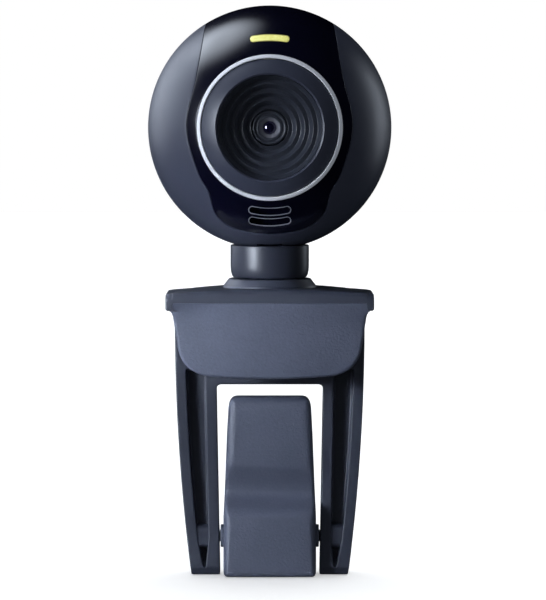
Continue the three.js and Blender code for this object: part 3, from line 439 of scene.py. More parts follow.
def piece(obj, slot, *nodes, look=None, sharp=32, weighted=True):
    """Gives a finished piece its look and its body, and hides the CAD nodes that it stands for."""
    mesh = obj.data
    mesh.polygons.foreach_set("use_smooth", [True] * len(mesh.polygons))
    mesh.set_sharp_from_angle(angle=math.radians(sharp))
    indices = [f.material_index for f in mesh.polygons]
    mesh.materials.clear()
    mesh.materials.append(LOOKS[look or slot])
    mesh.polygons.foreach_set("material_index", indices)
    if weighted:
        obj.modifiers.new("even_shading", "WEIGHTED_NORMAL").keep_sharp = True
    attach(obj, BODY_OF[nodes[0]])
    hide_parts(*nodes)


# ---------- head: the parts of its skin


def on_ball(theta, phi, r):
    """A point of the ball at angle theta from the lens axis and phi round it."""
    return xyz(r * np.sin(theta) * np.cos(phi), -r * np.cos(theta), r * np.sin(theta) * np.sin(phi)) + HEAD


# The face panel's edge: half its width at heights on the ball, as shares of its radius.
PANEL_EDGE = np.array([
    (0.495, 1.1), (0.53, 0.76), (0.585, 0.4), (0.662, 0.02), (0.575, -0.34), (0.485, -0.51), (0.43, -0.69),
    (0.28, -0.81), (0.0, -0.856),
])
SEAM_THETA = math.acos(-SEAM_Y / R)
EDGE_COUNT = 150


def through(knots, count):
    """A smooth curve through the knots, the last of which lies on the plane x = 0."""
    knots = np.concatenate((knots, knots[-2:-3:-1] * (-1, 1)))
    out = []
    for i in range(len(knots) - 2):
        p0, p1, p2, p3 = knots[max(i - 1, 0)], knots[i], knots[i + 1], knots[i + 2]
        a, b = (p2 - p0) / 2, (p3 - p1) / 2
        for t in np.linspace(0, 1, count, endpoint=False):
            out.append(p1 * (2 * t**3 - 3 * t**2 + 1) + p2 * (3 * t**2 - 2 * t**3)
                       + a * (t**3 - 2 * t**2 + t) + b * (t**3 - t**2))
    out.append(knots[-2])
    return np.array(out)


def panel_edge(gap):
    """(theta, phi) along the panel's edge, from the seam at the top right to the middle of the bottom."""
    flat = through(PANEL_EDGE, 40) * R + (gap, -gap)
    flat[-1][0] = 0
    rho = np.hypot(flat[:, 0], flat[:, 1])
    x, z = flat[rho < R].T
    phi = np.arctan2(z, x)
    theta = np.concatenate(((SEAM_THETA, math.pi / 2), np.arcsin(rho[rho < R] / R)))
    phi = np.concatenate(((phi[0], phi[0]), phi))
    places = on_ball(theta, phi, R)
    run = np.concatenate(((0,), np.cumsum(np.linalg.norm(np.diff(places, axis=0), axis=1))))
    at = np.linspace(0, run[-1], EDGE_COUNT)
    return np.interp(at, run, theta), np.interp(at, run, phi)


def both_sides(theta, phi):
    """The right half of an edge and its mirror, from the top right round the bottom to the top left."""
    return np.concatenate((theta, theta[-2::-1])), np.concatenate((phi, -math.pi - phi[-2::-1]))


def skin_sections(theta_a, theta_b, phi, round_a, round_b, across=34):
    """Loops across a curved skin from theta_a to theta_b, with rounded outer edges."""
    sections = []
    arc = np.linspace(0, math.pi / 2, 5)
    for a, b, f in zip(theta_a, theta_b, phi):
        length = R * (b - a)
        ra, rb = min(round_a, 0.4 * length), min(round_b, 0.4 * length)
        s = [0, 0, *(ra * (1 - np.cos(arc))), *np.linspace(ra, length - rb, across)[1:-1],
             *(length - rb * (1 - np.cos(arc[::-1]))), length, length, *np.linspace(length, 0, 10)[1:-1]]
        h = [-WALL, -WALL / 2, *(ra * (np.sin(arc) - 1)), *([0] * (across - 2)),
             *(rb * (np.sin(arc[::-1]) - 1)), -WALL / 2, -WALL, *([-WALL] * 8)]
        sections.append(on_ball(a + np.array(s) / R, f, R + np.array(h)))
    return sections


def tilt_slot():
    """The slot under the ball that the neck's post slides along, from 12 degrees forward to 40 back."""
    half = POST_R + RUN
    far = 1.3 * R
    ends = []
    for degrees, side in ((12, -1), (40, 1)):
        turn = math.radians(degrees) + math.asin(half / (R - WALL))
        ends.append((side * far * math.sin(turn), -far * math.cos(turn)))
    y, z = np.array([(0, 0), ends[0], (0, -2 * R), ends[1]]).T
    return loft("slot_tool", [xyz(x, y, z) + HEAD for x in (-half, half)])


theta, phi = both_sides(*panel_edge(SEAM))
to_seam = np.maximum(SEAM_THETA, theta + 1e-3)
front_shell = loft("front_shell_skin", skin_sections(theta, to_seam, phi, EDGE, EDGE))
combine(front_shell, [tilt_slot()], "DIFFERENCE", "EXACT")
piece(front_shell, "satin_shell", "head_shell_front", weighted=False)

# The face panel: a band from the lens's hole out to its edge, with slots for the light and the microphone.
theta, phi = both_sides(*panel_edge(0))
top = np.linspace(math.pi - phi[0], phi[0], 60)[1:-1]
theta = np.concatenate((theta, np.full(len(top), SEAM_THETA)))
phi = np.concatenate((phi, top))
hole_theta = np.full(len(theta), math.asin((TRIM_R + FIT) / R))
face_panel = band("face_panel_skin", skin_sections(hole_theta, theta, phi, 0.1, EDGE, 30))

light_lo, light_hi = box("status_light_guide")
LIGHT_WIDE, LIGHT_HIGH = light_hi[0] - light_lo[0], 1.5
LIGHT_Z, LIGHT_SAG = TRIM_R + 4.1, -0.3
MIC_SLOTS = [-(TRIM_R + 2.7), -(TRIM_R + 5.3)]
MIC_WIDE, MIC_HIGH, MIC_SAG, MIC_DEEP = 10.0, 1.7, 0.45, 1.5
tools = [front_prism("light_tool", bar(LIGHT_WIDE + 0.2, LIGHT_HIGH + 0.2, LIGHT_Z, LIGHT_SAG), -R - 1, 0)]
for z in MIC_SLOTS:
    outline = bar(MIC_WIDE, MIC_HIGH, z, MIC_SAG)
    tools.append(front_prism("mic_tool", outline, -R - 1, ball_front(outline, MIC_DEEP)))
combine(face_panel, tools, "DIFFERENCE", "EXACT")


def slot_lip(outline, thick=0.13, sunk=0.02):
    """A thin rounded lip that stands round a slot's edge, following the ball."""
    middle = front_loop(outline, ball_front(outline, 0))
    out = (middle - HEAD) / R
    middle = middle - out * sunk
    forward = np.roll(middle, -1, 0) - np.roll(middle, 1, 0)
    forward /= np.linalg.norm(forward, axis=1)[:, None]
    side = np.cross(out, forward)
    turns = np.linspace(0, TAU, 10, endpoint=False)
    return band("slot_lip", [[m + thick * (math.cos(t) * s + math.sin(t) * o) for t in turns]
                             for m, s, o in zip(middle, side, out)])


def join(obj, others):
    """Adds the others' faces to obj, with its second material."""
    bm = bmesh.new()
    for index, part in enumerate((obj, *others)):
        known = len(bm.faces)
        bm.from_mesh(part.data)
        bm.faces.ensure_lookup_table()
        for face in bm.faces[known:]:
            face.material_index = min(index, 1)
    bm.to_mesh(obj.data)
    bm.free()
    for part in others:
        bpy.data.objects.remove(part)


join(face_panel, [slot_lip(bar(MIC_WIDE + 0.1, MIC_HIGH + 0.1, z, MIC_SAG)) for z in MIC_SLOTS])
piece(face_panel, "gloss_panel", "face_panel", weighted=False)
# The lips round the microphone slots get the paler grey: a painted highlight, on top of their real gloss.
face_panel.data.materials.append(LOOKS["slot_edge"])

# The rear shell: a band from the seam back to the gland's hole, with two sunk screws and the tilt slot.
gland_lo, gland_hi = box("cable_gland")
GLAND_R = gland_hi[0]
around = np.linspace(0, TAU, 160, endpoint=False)
seam_theta = np.full(len(around), math.acos(-box("head_shell_rear")[0][1] / R))
gland_theta = np.full(len(around), math.pi - math.asin((GLAND_R + FIT) / R))
rear_shell = band("rear_shell_skin", skin_sections(seam_theta, gland_theta, around, EDGE, 0.2, 40))


def collar(x, z, r, y0, under):
    """A round bar from y0 to the ball's back, or to a ball whose radius is less by under."""
    outline = circle(x, z, r)
    return front_prism("collar", outline, y0, -ball_front(outline, under))


SCREW_HEAD = 0.9
collars, pits = [], []
for lo, hi in (box("shell_screw_1"), box("shell_screw_2")):
    x, z = (lo[0] + hi[0]) / 2, (lo[2] + hi[2]) / 2 - HEAD[2]
    collars.append(collar(x, z, 3.4, 4.5, 0.8))
    pits.append(collar(x, z, (hi[0] - lo[0]) / 2 + RUN, hi[1] - SCREW_HEAD, -3))
combine(rear_shell, collars, "UNION")
combine(rear_shell, pits + [tilt_slot()], "DIFFERENCE", "EXACT")
piece(rear_shell, "satin_shell", "head_shell_rear", weighted=False)

# ---------- head: ring, hood and lens


def front_at(radius):
    """y of the ball's front at a distance from the lens axis."""
    return -math.sqrt(R**2 - radius**2)


def lathe_y(name, corners, steps=5, count=160):
    """Turns (radius, y, rounding) corners about the lens axis."""
    return lathe(name, rounded(corners, steps), HEAD, "Y", count)


trim_in = TRIM_R - TRIM_WIDTH
trim_back = trim_hi[1]
ring = lathe_y("lens_trim_ring_fine", [
    (trim_in, trim_lo[1] + 0.05, 0.22), (TRIM_R, front_at(TRIM_R) - 0.4, 0.4), (TRIM_R, trim_back, 0),
    (trim_in, trim_back, 0)])
piece(ring, "silver_ring", "lens_trim_ring", sharp=50)

FOCUS_R = TRIM_R - TRIM_WIDTH - FIT
MOUTH_R = FOCUS_R - 3.9  # the hood's mouth, inside the focus ring's domed face
MOUTH_Y = front_at(MOUTH_R) - 0.1
DOME = 0.14
outer_y = front_at(FOCUS_R) - 0.25
seat_r = MOUTH_R + 1.4


def cone_face(count=14):
    """The domed face between the silver ring and the hood's mouth."""
    t = np.linspace(0, 1, count)
    r0, r1 = MOUTH_R + 0.55, FOCUS_R - 0.25
    y0, y1 = MOUTH_Y - 0.33, outer_y
    y = y0 + (y1 - y0) * t - DOME * 4 * t * (1 - t)
    return [(a, b, 0) for a, b in zip(r0 + (r1 - r0) * t, y)]


focus = lathe_y("focus_ring_fine", [
    (MOUTH_R + 0.1, MOUTH_Y + 0.6, 0), (MOUTH_R + 0.1, MOUTH_Y - 0.05, 0.25), *cone_face(),
    (FOCUS_R, outer_y + 0.2, 0.15), (FOCUS_R, outer_y + 1.9, 0.2),
    ((seat_r + FOCUS_R) / 2, outer_y + 3, 0.2), (seat_r, outer_y + 3, 0), (seat_r, MOUTH_Y + 0.9, 0)])
piece(focus, "satin_shell", "focus_ring", sharp=50, weighted=False)

# The hood: steps like a funnel's down to the barrel, each with a slanted face and a crisp edge.
_, hood_hi = box("lens_hood")
BARREL_R = 4.1
HOLE_R = BARREL_R + RUN
STEPS, STEP_DEPTH = 4, 1.45
step_r = (MOUTH_R - HOLE_R) / STEPS
hood_y = MOUTH_Y + 0.75
hood_rim, hood_back = hood_hi[0], hood_hi[1]
corners = []
for i in range(STEPS):
    r, y = MOUTH_R - i * step_r, hood_y + i * STEP_DEPTH
    corners += [(r, y, 0.1), (r - step_r * 0.46, y + STEP_DEPTH + 0.55, 0.12)]
corners += [
    (HOLE_R, hood_y + STEPS * STEP_DEPTH - 0.1, 0.12), (HOLE_R, hood_back, 0),
    (HOLE_R + 2 * step_r, hood_back - 0.9, 0), (MOUTH_R - 0.4, MOUTH_Y + 4.2, 0),
    (hood_rim, MOUTH_Y + 4.2, 0), (hood_rim, MOUTH_Y + 1.05, 0), (MOUTH_R, MOUTH_Y + 1.05, 0)]
piece(lathe_y("lens_hood_fine", corners), "hood_plastic", "lens_hood", sharp=60)

barrel_lo, barrel_hi = box("lens_barrel")
f, back = barrel_lo[1], barrel_hi[1]
barrel = lathe_y("lens_barrel_fine", [
    (1.55, f + 1.25, 0), (1.75, f + 0.95, 0.08), (2.3, f + 0.4, 0.12), (2.5, f + 0.1, 0.12),
    (3.0, f + 0.1, 0.12), (3.1, f + 0.35, 0.08), (3.5, f + 0.35, 0.08), (3.6, f, 0.12),
    (BARREL_R, f, 0.2), (BARREL_R, f + 1.6, 0.2), (3.5, f + 1.8, 0), (3.5, back, 0),
    (2.05, back, 0), (2.05, f + 1.6, 0), (1.55, f + 1.6, 0)], 4, 96)
# The cone round the glass gets the paler rim look. Its colour is a painted highlight, and its gloss reflects
# the lamps.
for face in barrel.data.polygons:  # the cone round the glass is paler
    reach = math.hypot(face.center.x, face.center.z - HEAD[2] * MM) / MM
    face.material_index = int(reach < 2.42 and face.center.y / MM < f + 1.3)
piece(barrel, "hood_plastic", "lens_barrel", sharp=40)
barrel.data.materials.append(LOOKS["lens_rim"])

glass_lo, glass_hi = box("front_lens")
GLASS_R, glass_back = glass_hi[0], glass_hi[1]
dome_r = GLASS_R - 0.35
dome = [(r, glass_lo[1] + 0.27 * r**2, 0) for r in np.linspace(0, dome_r, 12)]
glass = lathe_y("front_lens_fine", [
    *dome, (dome_r, glass_back - 1.6, 0), (GLASS_R, glass_back - 1.6, 0), (GLASS_R, glass_back, 0),
    (0, glass_back, 0)], 1, 72)
piece(glass, "lens_glass", "front_lens", sharp=50)

# The light guide: a crowned blade flush with the ball, and the stalk that leads down to the LED.
outline = bar(LIGHT_WIDE, LIGHT_HIGH, LIGHT_Z, LIGHT_SAG)
mid_z = LIGHT_Z + LIGHT_SAG * np.clip(np.abs(outline[:, 0]) / (LIGHT_WIDE / 2 - LIGHT_HIGH / 2), 0, 1) ** 2
crown = ((0, 5.0), (0, 0.3), (0.02, 0.12), (0.09, 0.03), (0.22, -0.03), (0.42, -0.06), (0.6, -0.07))
loops = []
for inset, under in crown:
    small = np.stack((outline[:, 0] * (1 - inset / (LIGHT_WIDE / 2)),
                      mid_z + (outline[:, 1] - mid_z) * (1 - inset / (LIGHT_HIGH / 2))), 1)
    loops.append(front_loop(small, ball_front(small, min(under, 1)) + max(under - 1, 0)))
guide = loft("light_guide_fine", loops)
led_lo, led_hi = box("status_led")
blade_back = front_at(LIGHT_Z) + 4.5
near_led = led_lo[1] - 0.4
led_z = (led_lo[2] + led_hi[2]) / 2 - HEAD[2]
stalk = []
for t in np.linspace(0, 1, 10):
    z = LIGHT_Z + (led_z - LIGHT_Z) * t
    half = 0.6 + 0.5 * t
    loop = rounded([(x * 1.5, z + side * half, 0.3) for x, side in ((-1, -1), (1, -1), (1, 1), (-1, 1))])
    stalk.append(front_loop(loop, blade_back + (near_led - blade_back) * t))
combine(guide, [loft("stalk", stalk)], "UNION")
piece(guide, "light_guide", "status_light_guide", sharp=50)

# The gland: a ribbed rubber bush.
face_y, inner_y = gland_hi[1], gland_lo[1]
gland = lathe_y("cable_gland_fine", [
    (2.0, face_y - 0.1, 0.25), (2.6, face_y, 0.2), (3.0, face_y - 0.25, 0.12), (3.4, face_y, 0.12),
    (GLAND_R, face_y - 0.05, 0.35), (GLAND_R, face_y - 1.2, 0.1), (3.0, face_y - 1.25, 0),
    (3.0, inner_y + 1, 0), (GLAND_R, inner_y + 1, 0), (GLAND_R, inner_y, 0), (2.0, inner_y, 0)], 4, 72)
piece(gland, "rubber", "cable_gland", sharp=40)

# ---------- screws


def screw(node, axis="Y", head_side=1):
    """A pan-head screw with a cross recess, over the CAD screw's own box."""
    lo, hi = box(node)
    index = "XYZ".index(axis)
    centre = (lo + hi) / 2
    centre[index] = 0
    tip, top = (lo[index], hi[index]) if head_side > 0 else (hi[index], lo[index])
    a, b = [i for i in range(3) if i != index]
    head_r = (hi[a] - lo[a]) / 2
    shank_r = 0.85
    under = top - head_side * SCREW_HEAD
    outline = rounded([
        (0, top, 0), (head_r * 0.7, top, 0.5), (head_r, under + head_side * 0.25, 0.4),
        (head_r, under, 0.1), (shank_r, under, 0.1), (shank_r, tip + head_side * 0.8, 0.1),
        (0, tip, 0)], 5, False)
    body = lathe(f"{node}_fine", outline, centre, axis, 48)
    for wide, high in ((0.55, 0.15), (0.15, 0.55)):
        loops = []
        for depth, share in ((0.55, 0.75), (-0.6, 1.15)):
            loop = np.zeros((4, 3))
            loop[:, index] = top - head_side * depth
            loop[:, a] = np.array((-1, 1, 1, -1)) * head_r * wide * share
            loop[:, b] = np.array((-1, -1, 1, 1)) * head_r * high * share
            loops.append(loop + centre)
        combine(body, [loft("recess", loops)], "DIFFERENCE", "EXACT")
    piece(body, "steel", node, sharp=35)


for i in (1, 2):
    screw(f"shell_screw_{i}")
    screw(f"board_screw_{i}")
screw("tilt_screw", "Z")
screw("swivel_screw", "Z", -1)

# ---------- neck

bridge_lo, bridge_hi = box("clip_bridge")
_, neck_hi = box("neck")
NECK_R, POST_TOP = neck_hi[0], neck_hi[2]
BOSS_TOP = bridge_hi[2]
BASE = BOSS_TOP + FIT
BASE_R = NECK_R - 0.85  # the neck narrows to this at its foot
CUP_R = NECK_R - 1.8


def seat_z(r):
    """Height of the ball's seat on the neck at a distance from the swivel axis."""
    return HEAD[2] - math.sqrt((R + RUN) ** 2 - r**2)


taper = [(BASE_R + 0.85 * math.sin(t), BASE + 0.12 + 3.0 * (1 - math.cos(t)), 0)
         for t in np.linspace(0.12, math.pi / 2, 12)]
neck = lathe("neck_fine", rounded([
    (0, BASE - 3.3, 0), (4, BASE - 3.3, 0.2), (4, BASE, 0), (BASE_R - 0.2, BASE, 0.12), *taper,
    (NECK_R, BASE + 5, 0), (NECK_R, seat_z(NECK_R) - 0.05, 0.35), (NECK_R - 0.9, seat_z(NECK_R - 0.9), 0),
    (CUP_R, seat_z(CUP_R), 0.2), (CUP_R, BASE + 2, 0.5), (POST_R, BASE + 2, 0.5), (POST_R, POST_TOP, 0.2),
    (0.9, POST_TOP, 0), (0.9, POST_TOP - 5, 0), (0, POST_TOP - 5, 0)], 5, False), axis="Z", count=160)
piece(neck, "gloss_panel", "neck", look="neck_gloss", sharp=45, weighted=False)

# ---------- clip: bridge and lip

lip_lo, lip_hi = box("front_lip")
HALF = bridge_hi[0]
FRONT, BACK = bridge_lo[1], bridge_hi[1]
PLATE_TOP = BOSS_TOP - 2.0
PLATE_UNDER = PLATE_TOP - 2.7
CAMBER = 1.1  # how far the plate's top falls from its middle to its sides
EAR_BOTTOM = PLATE_TOP - CAMBER - 4.2
ROLL_BOTTOM = PLATE_TOP - CAMBER - 2.35
LIP_BACK = lip_hi[1]
hinge_lo, hinge_hi = box("leg_hinge_pin")
HINGE_Y, HINGE_Z = (hinge_lo[1] + hinge_hi[1]) / 2, (hinge_lo[2] + hinge_hi[2]) / 2
KNUCKLE_R = 3.5
LUG_R = 3.4
LUG_OUT = box("hinge_washer_right")[0][0] - 0.1
LUG_IN = LUG_OUT - 4.1
NOTCH_Y = HINGE_Y - KNUCKLE_R - RUN


def side_loop(x, outline):
    """A side view (y, z) at x."""
    return xyz(x, outline[:, 0], outline[:, 1])


def bridge_section(x, inset, ear):
    """The bridge's side outline at x. ear runs from 0, between the ears, to 1 in them."""
    top = PLATE_TOP - CAMBER * (x / HALF) ** 2 - inset
    bottom = ROLL_BOTTOM * (1 - ear) + EAR_BOTTOM * ear + inset
    bottom_back = LIP_BACK * (1 - ear) + (FRONT + 3.6) * ear - inset
    under = PLATE_UNDER + inset
    front = FRONT + inset
    fall = 0.02
    if abs(x) <= LUG_OUT:
        back = BACK - inset
        fall = min(1, max(0, (abs(x) - 6) / (LUG_OUT - 6))) ** 1.5
    elif abs(x) <= HALF - 1.5:
        back = NOTCH_Y + max(0, LUG_OUT + 0.8 - abs(x)) - inset
    else:
        back = NOTCH_Y - 2 * (abs(x) - HALF + 1.5) / 1.5 - inset
    return side_loop(x, rounded([
        (back, top - 0.05 - 1.5 * fall, 0.5), (back - 0.05 - 6.3 * fall, top, 0.5), (front, top, 1.9),
        (front, bottom, 0.1), (bottom_back, bottom, 0.25), (bottom_back, under, 0.25),
        (back, under, 0.4)], 7))


END_ROUND = 0.55
ear_in = HALF - 1.95
plain = [*np.linspace(0, LUG_OUT, 12), LUG_OUT + 0.01, LUG_OUT + 0.3, LUG_OUT + 0.8, ear_in - 1.65, ear_in]
right = [(x, 0.0, 0.0) for x in plain]
right += [(ear_in + 0.35 * t, 0.0, t**2) for t in np.linspace(0.25, 1, 4)] + [(ear_in + 0.65, 0.0, 1.0)]
right += [(HALF - END_ROUND * (1 - math.sin(t)), END_ROUND * (1 - math.cos(t)), 1.0)
          for t in np.linspace(0, math.pi / 2, 5)]
stations = [(-x, inset, ear) for x, inset, ear in right[:0:-1]] + right
bridge = loft("clip_bridge_fine", [bridge_section(*station) for station in stations])

collar_r = BASE_R + 1.25  # of the raised ring that the neck turns on
boss = lathe("boss", rounded([
    (0, PLATE_UNDER + 1, 0), (collar_r + 1.4, PLATE_UNDER + 1, 0), (collar_r + 1.45, PLATE_TOP - 0.35, 0),
    (collar_r + 1.25, PLATE_TOP + 0.35, 0.3), (collar_r, BOSS_TOP, 0.5), (BASE_R - 1.5, BOSS_TOP, 0.1),
    (BASE_R - 1.7, BOSS_TOP - 0.2, 0), (0, BOSS_TOP - 0.2, 0)], 6, False), axis="Z")


def lug(name, x0, x1):
    """A rounded ear under the plate that the hinge pin goes through."""
    turns = np.linspace(math.pi, TAU, 20)
    chamfer = ((0, 0.25), (0.08, 0.08), (0.25, 0))
    loops = []
    for x, inset in [(x0 + x, i) for x, i in chamfer] + [(x1 - x, i) for x, i in chamfer[::-1]]:
        r = LUG_R - inset
        ring = [(HINGE_Y + r * math.cos(t), HINGE_Z + r * math.sin(t)) for t in turns]
        ring += [(HINGE_Y + r, PLATE_UNDER + 1), (HINGE_Y - r, PLATE_UNDER + 1)]
        loops.append(side_loop(x, np.array(ring)))
    return loft(name, loops)


def drill(r, z0, z1):
    """A bar about the swivel axis."""
    return lathe("drill", [(0, z0), (r, z0), (r, z1), (0, z1)], axis="Z", count=64)


combine(bridge, [boss, lug("lug_r", LUG_IN, LUG_OUT), lug("lug_l", -LUG_OUT, -LUG_IN)], "UNION")
swivel_holes = [drill(6.3, PLATE_UNDER - 1, PLATE_UNDER + 1.6), drill(4.15, PLATE_UNDER, BOSS_TOP + 1)]
combine(bridge, swivel_holes, "DIFFERENCE", "EXACT")
piece(bridge, "clip_plastic", "clip_bridge", sharp=40)


def inward(loop):
    """The unit normals that point into a loop of (x, z) points listed anticlockwise."""
    forward = np.roll(loop, -1, 0) - np.roll(loop, 1, 0)
    forward /= np.maximum(np.linalg.norm(forward, axis=1), 1e-9)[:, None]
    return np.stack((-forward[:, 1], forward[:, 0]), 1)


def slab(name, half, front_y, back_y, front_edge, back_edge, cols=24):
    """A mirrored plate. half lists its right edge (x, z) from the top corner to the middle of its bottom.
    front_y and back_y give the surfaces at (x, z), and each edge gives (how far in, how deep) at z."""
    half = np.asarray(half, float)
    top = np.stack(np.broadcast_arrays(np.linspace(half[0][0], -half[0][0], cols + 1), half[0][1]), 1)
    loop = np.concatenate((top, half[1:] * (-1, 1), half[-2:0:-1]))
    normal = inward(loop)
    rows, count = len(half), len(loop)
    arc = np.linspace(0, math.pi / 2, 7)
    verts, faces = [], []

    def side(y_of, edge, sign):
        """One face of the plate with its rounded edge. Returns the number of its first point."""
        start = len(verts)
        for t in arc:
            reach = np.array([edge(z) for _, z in loop])
            at = loop + normal * (reach[:, :1] * (1 - math.cos(t)))
            y = np.array([y_of(x, z) for x, z in at]) + sign * reach[:, 1] * (1 - math.sin(t))
            verts.extend(xyz(at[:, 0], y, at[:, 1]))
        faces.extend(sheet(len(arc), count, wrap_cols=True, start=start))
        inner = start + (len(arc) - 1) * count
        left = [inner + cols + i for i in range(rows)]
        right = [inner] + [inner + count - i for i in range(1, rows - 1)] + [inner + cols + rows - 1]
        grid = [[inner + k for k in range(cols + 1)]]
        used = [0]
        for i in range(1, rows - 1):  # rows of points across the face, at least 0.1 mm apart
            a, b = verts[right[i]], verts[left[i]]
            if verts[right[used[-1]]][2] - a[2] < 0.1:
                continue
            used.append(i)
            row = [right[i]]
            for k in range(1, cols):
                x, z = a[0] + (b[0] - a[0]) * k / cols, a[2] + (b[2] - a[2]) * k / cols
                row.append(len(verts))
                verts.append(np.array((x, y_of(x, z), z)))
            grid.append(row + [left[i]])
        for n, (upper, lower) in enumerate(zip(grid, grid[1:])):
            skipped = range(used[n] + 1, used[n + 1])
            for k in range(cols):
                face = [upper[k], upper[k + 1], lower[k + 1], lower[k]]
                if k == 0:
                    face += [right[i] for i in reversed(skipped)]
                if k == cols - 1:
                    face[2:2] = [left[i] for i in skipped]
                faces.append(tuple(face))
        rest = range(used[-1] + 1, rows)
        faces.append((*grid[-1], *[left[i] for i in rest], *[right[i] for i in reversed(rest[:-1])]))
        return start

    a, b = side(front_y, front_edge, 1), side(back_y, back_edge, -1)
    for k in range(count):
        m = (k + 1) % count
        faces.append((a + k, a + m, b + m, b + k))
    return make(name, np.array(verts), faces)


def curve(points, count=8):
    """Points along a chain of quadratic curves: start, then (control, end) pairs."""
    out = [np.array(points[0], float)]
    for control, end in points[1:]:
        start, control, end = out[-1], np.array(control, float), np.array(end, float)
        for t in np.linspace(0, 1, count + 1)[1:]:
            out.append((1 - t) ** 2 * start + 2 * t * (1 - t) * control + t * t * end)
    return np.array(out)


def outline_through(start, *steps):
    """A chain of curves. A step is its end, for a straight line, or (control, end)."""
    chain, at = [start], start
    for step in steps:
        end = step[1] if isinstance(step[0], tuple) else step
        control = step[0] if end is not step else ((at[0] + end[0]) / 2, (at[1] + end[1]) / 2)
        chain.append((control, end))
        at = end
    return chain


LIP_TOP = ROLL_BOTTOM - 0.03
LIP_BOTTOM = lip_lo[2]
LIP_FACE, LIP_CROWN = lip_lo[1], 1.2
shoulder_z = EAR_BOTTOM + 0.05  # the lip widens under the bridge's ears
shoulder = HALF - 1.62
half_lip = curve(outline_through(
    (shoulder, LIP_TOP),
    (shoulder, shoulder_z + 0.3),
    ((shoulder, shoulder_z), (shoulder + 0.1, shoulder_z)),
    (HALF - 0.85, shoulder_z),
    ((HALF - 1.6, shoulder_z - 0.35), (HALF - 1.85, shoulder_z - 1.85)),
    (HALF - 3.1, LIP_BOTTOM + 7.0),
    ((HALF - 4.2, LIP_BOTTOM + 2.0), (HALF - 9.5, LIP_BOTTOM + 0.75)),
    ((HALF - 15, LIP_BOTTOM + 0.1), (0, LIP_BOTTOM)),
))


def lip_front(x, z):
    """y of the lip's face: crowned, leaning back to its foot and rising to meet the bridge's roll."""
    down = LIP_TOP - z
    flat = LIP_FACE + LIP_CROWN * (x / HALF) ** 2 + 0.25 * (down / (LIP_TOP - LIP_BOTTOM)) ** 2
    near_roll = max(0.0, 1 - down / 4.6) ** 1.7
    return flat + (FRONT + 0.08 - flat) * near_roll


lip = slab("front_lip_fine", half_lip, lip_front, lambda x, z: LIP_BACK,
           lambda z: (0.75, 0.6) if z < EAR_BOTTOM - 1 else (0.15, 0.08), lambda z: (0.4, 0.3), 28)
piece(lip, "grained_plastic", "front_lip", sharp=45)


def pad(node, axis, grooves):
    """A rubber pad with rounded edges and shallow moulded grooves on its free face."""
    lo, hi = box(node)
    index = "XYZ".index(axis)
    a, b = [i for i in range(3) if i != index]
    near, far = (lo[index], hi[index]) if axis == "Y" else (hi[index], lo[index])
    toward = 1 if far > near else -1
    end_rows, dip_most = 4, 0.22
    count = grooves * 8
    rows = []
    for k in range(count + 1):
        dip = dip_most * (0.5 - 0.5 * math.cos(TAU * grooves * k / count)) ** 2 if 0 < k < count else 0.3
        to_end = min(k, count - k, end_rows) / end_rows
        inset = 1.2 * (1 - math.sqrt(1 - (1 - to_end) ** 2))
        free = far - toward * dip
        low, high = lo[a] + inset, hi[a] - inset
        loop = rounded([(low, near, 0.05), (high, near, 0.05), (high, free, 0.25), (low, free, 0.25)], 3)
        ring = np.zeros((len(loop), 3))
        ring[:, a], ring[:, index], ring[:, b] = loop[:, 0], loop[:, 1], lo[b] + (hi[b] - lo[b]) * k / count
        rows.append(ring)
    piece(loft(f"{node}_fine", rows), "rubber", node, sharp=50)


pad("lip_pad", "Y", 8)
pad("bridge_pad", "Z", 8)

# ---------- leg frame

pivot_lo, pivot_hi = box("foot_pivot_pin")
PIVOT_Y, PIVOT_Z = (pivot_lo[1] + pivot_hi[1]) / 2, (pivot_lo[2] + pivot_hi[2]) / 2
_, foot_hi = box("foot")
HUB_HALF = foot_hi[0]
LEG_TOP = box("leg_frame")[1][0]  # half the frame's width at the hinge
WINDOW_FOOT = HUB_HALF + FIT  # half the window's width at the foot's pin
WINDOW_TOP = WINDOW_FOOT + 0.9
LEG_FOOT = WINDOW_FOOT + 7.1
CROSS_TOP = HINGE_Z - 13.8
CROSS_LOW = CROSS_TOP - 5.1
KNUCKLE_IN = LEG_TOP - 4.4
KNEE_Z = HINGE_Z - 6.5  # where a leg narrows to its knuckle
KNEE_LOW = KNEE_Z - 0.8
DEPTH = 7.4  # of a leg, front to back
GROOVE = 3.1  # depth of the groove down its front
LEG_WALL = 2.65  # beside the groove
TOE_Y = 3.1


def leg_y(z):
    """y of a leg's middle, which leans back towards the foot."""
    return TOE_Y + (HINGE_Y - TOE_Y) * (max(z, 0) / HINGE_Z) ** 1.15


def leg_half(z):
    """x of a leg's outer side."""
    return LEG_FOOT + (LEG_TOP - LEG_FOOT) * (1 - max(0, 1 - z / HINGE_Z) ** 2.1)


def leg_inner(z):
    """x of a leg's inner side: beside the window, past the crossbar and up to the knuckle."""
    beside_lug = LUG_IN + 0.7
    if z <= CROSS_TOP - 1:
        return WINDOW_FOOT + 0.9 * min(z, CROSS_LOW) / CROSS_LOW
    if z <= KNEE_LOW:
        return WINDOW_TOP + (beside_lug - WINDOW_TOP) * (z - CROSS_TOP + 1) / (KNEE_LOW - CROSS_TOP + 1)
    return min(KNUCKLE_IN, beside_lug + (KNUCKLE_IN - beside_lug) * (z - KNEE_LOW) / 0.8)


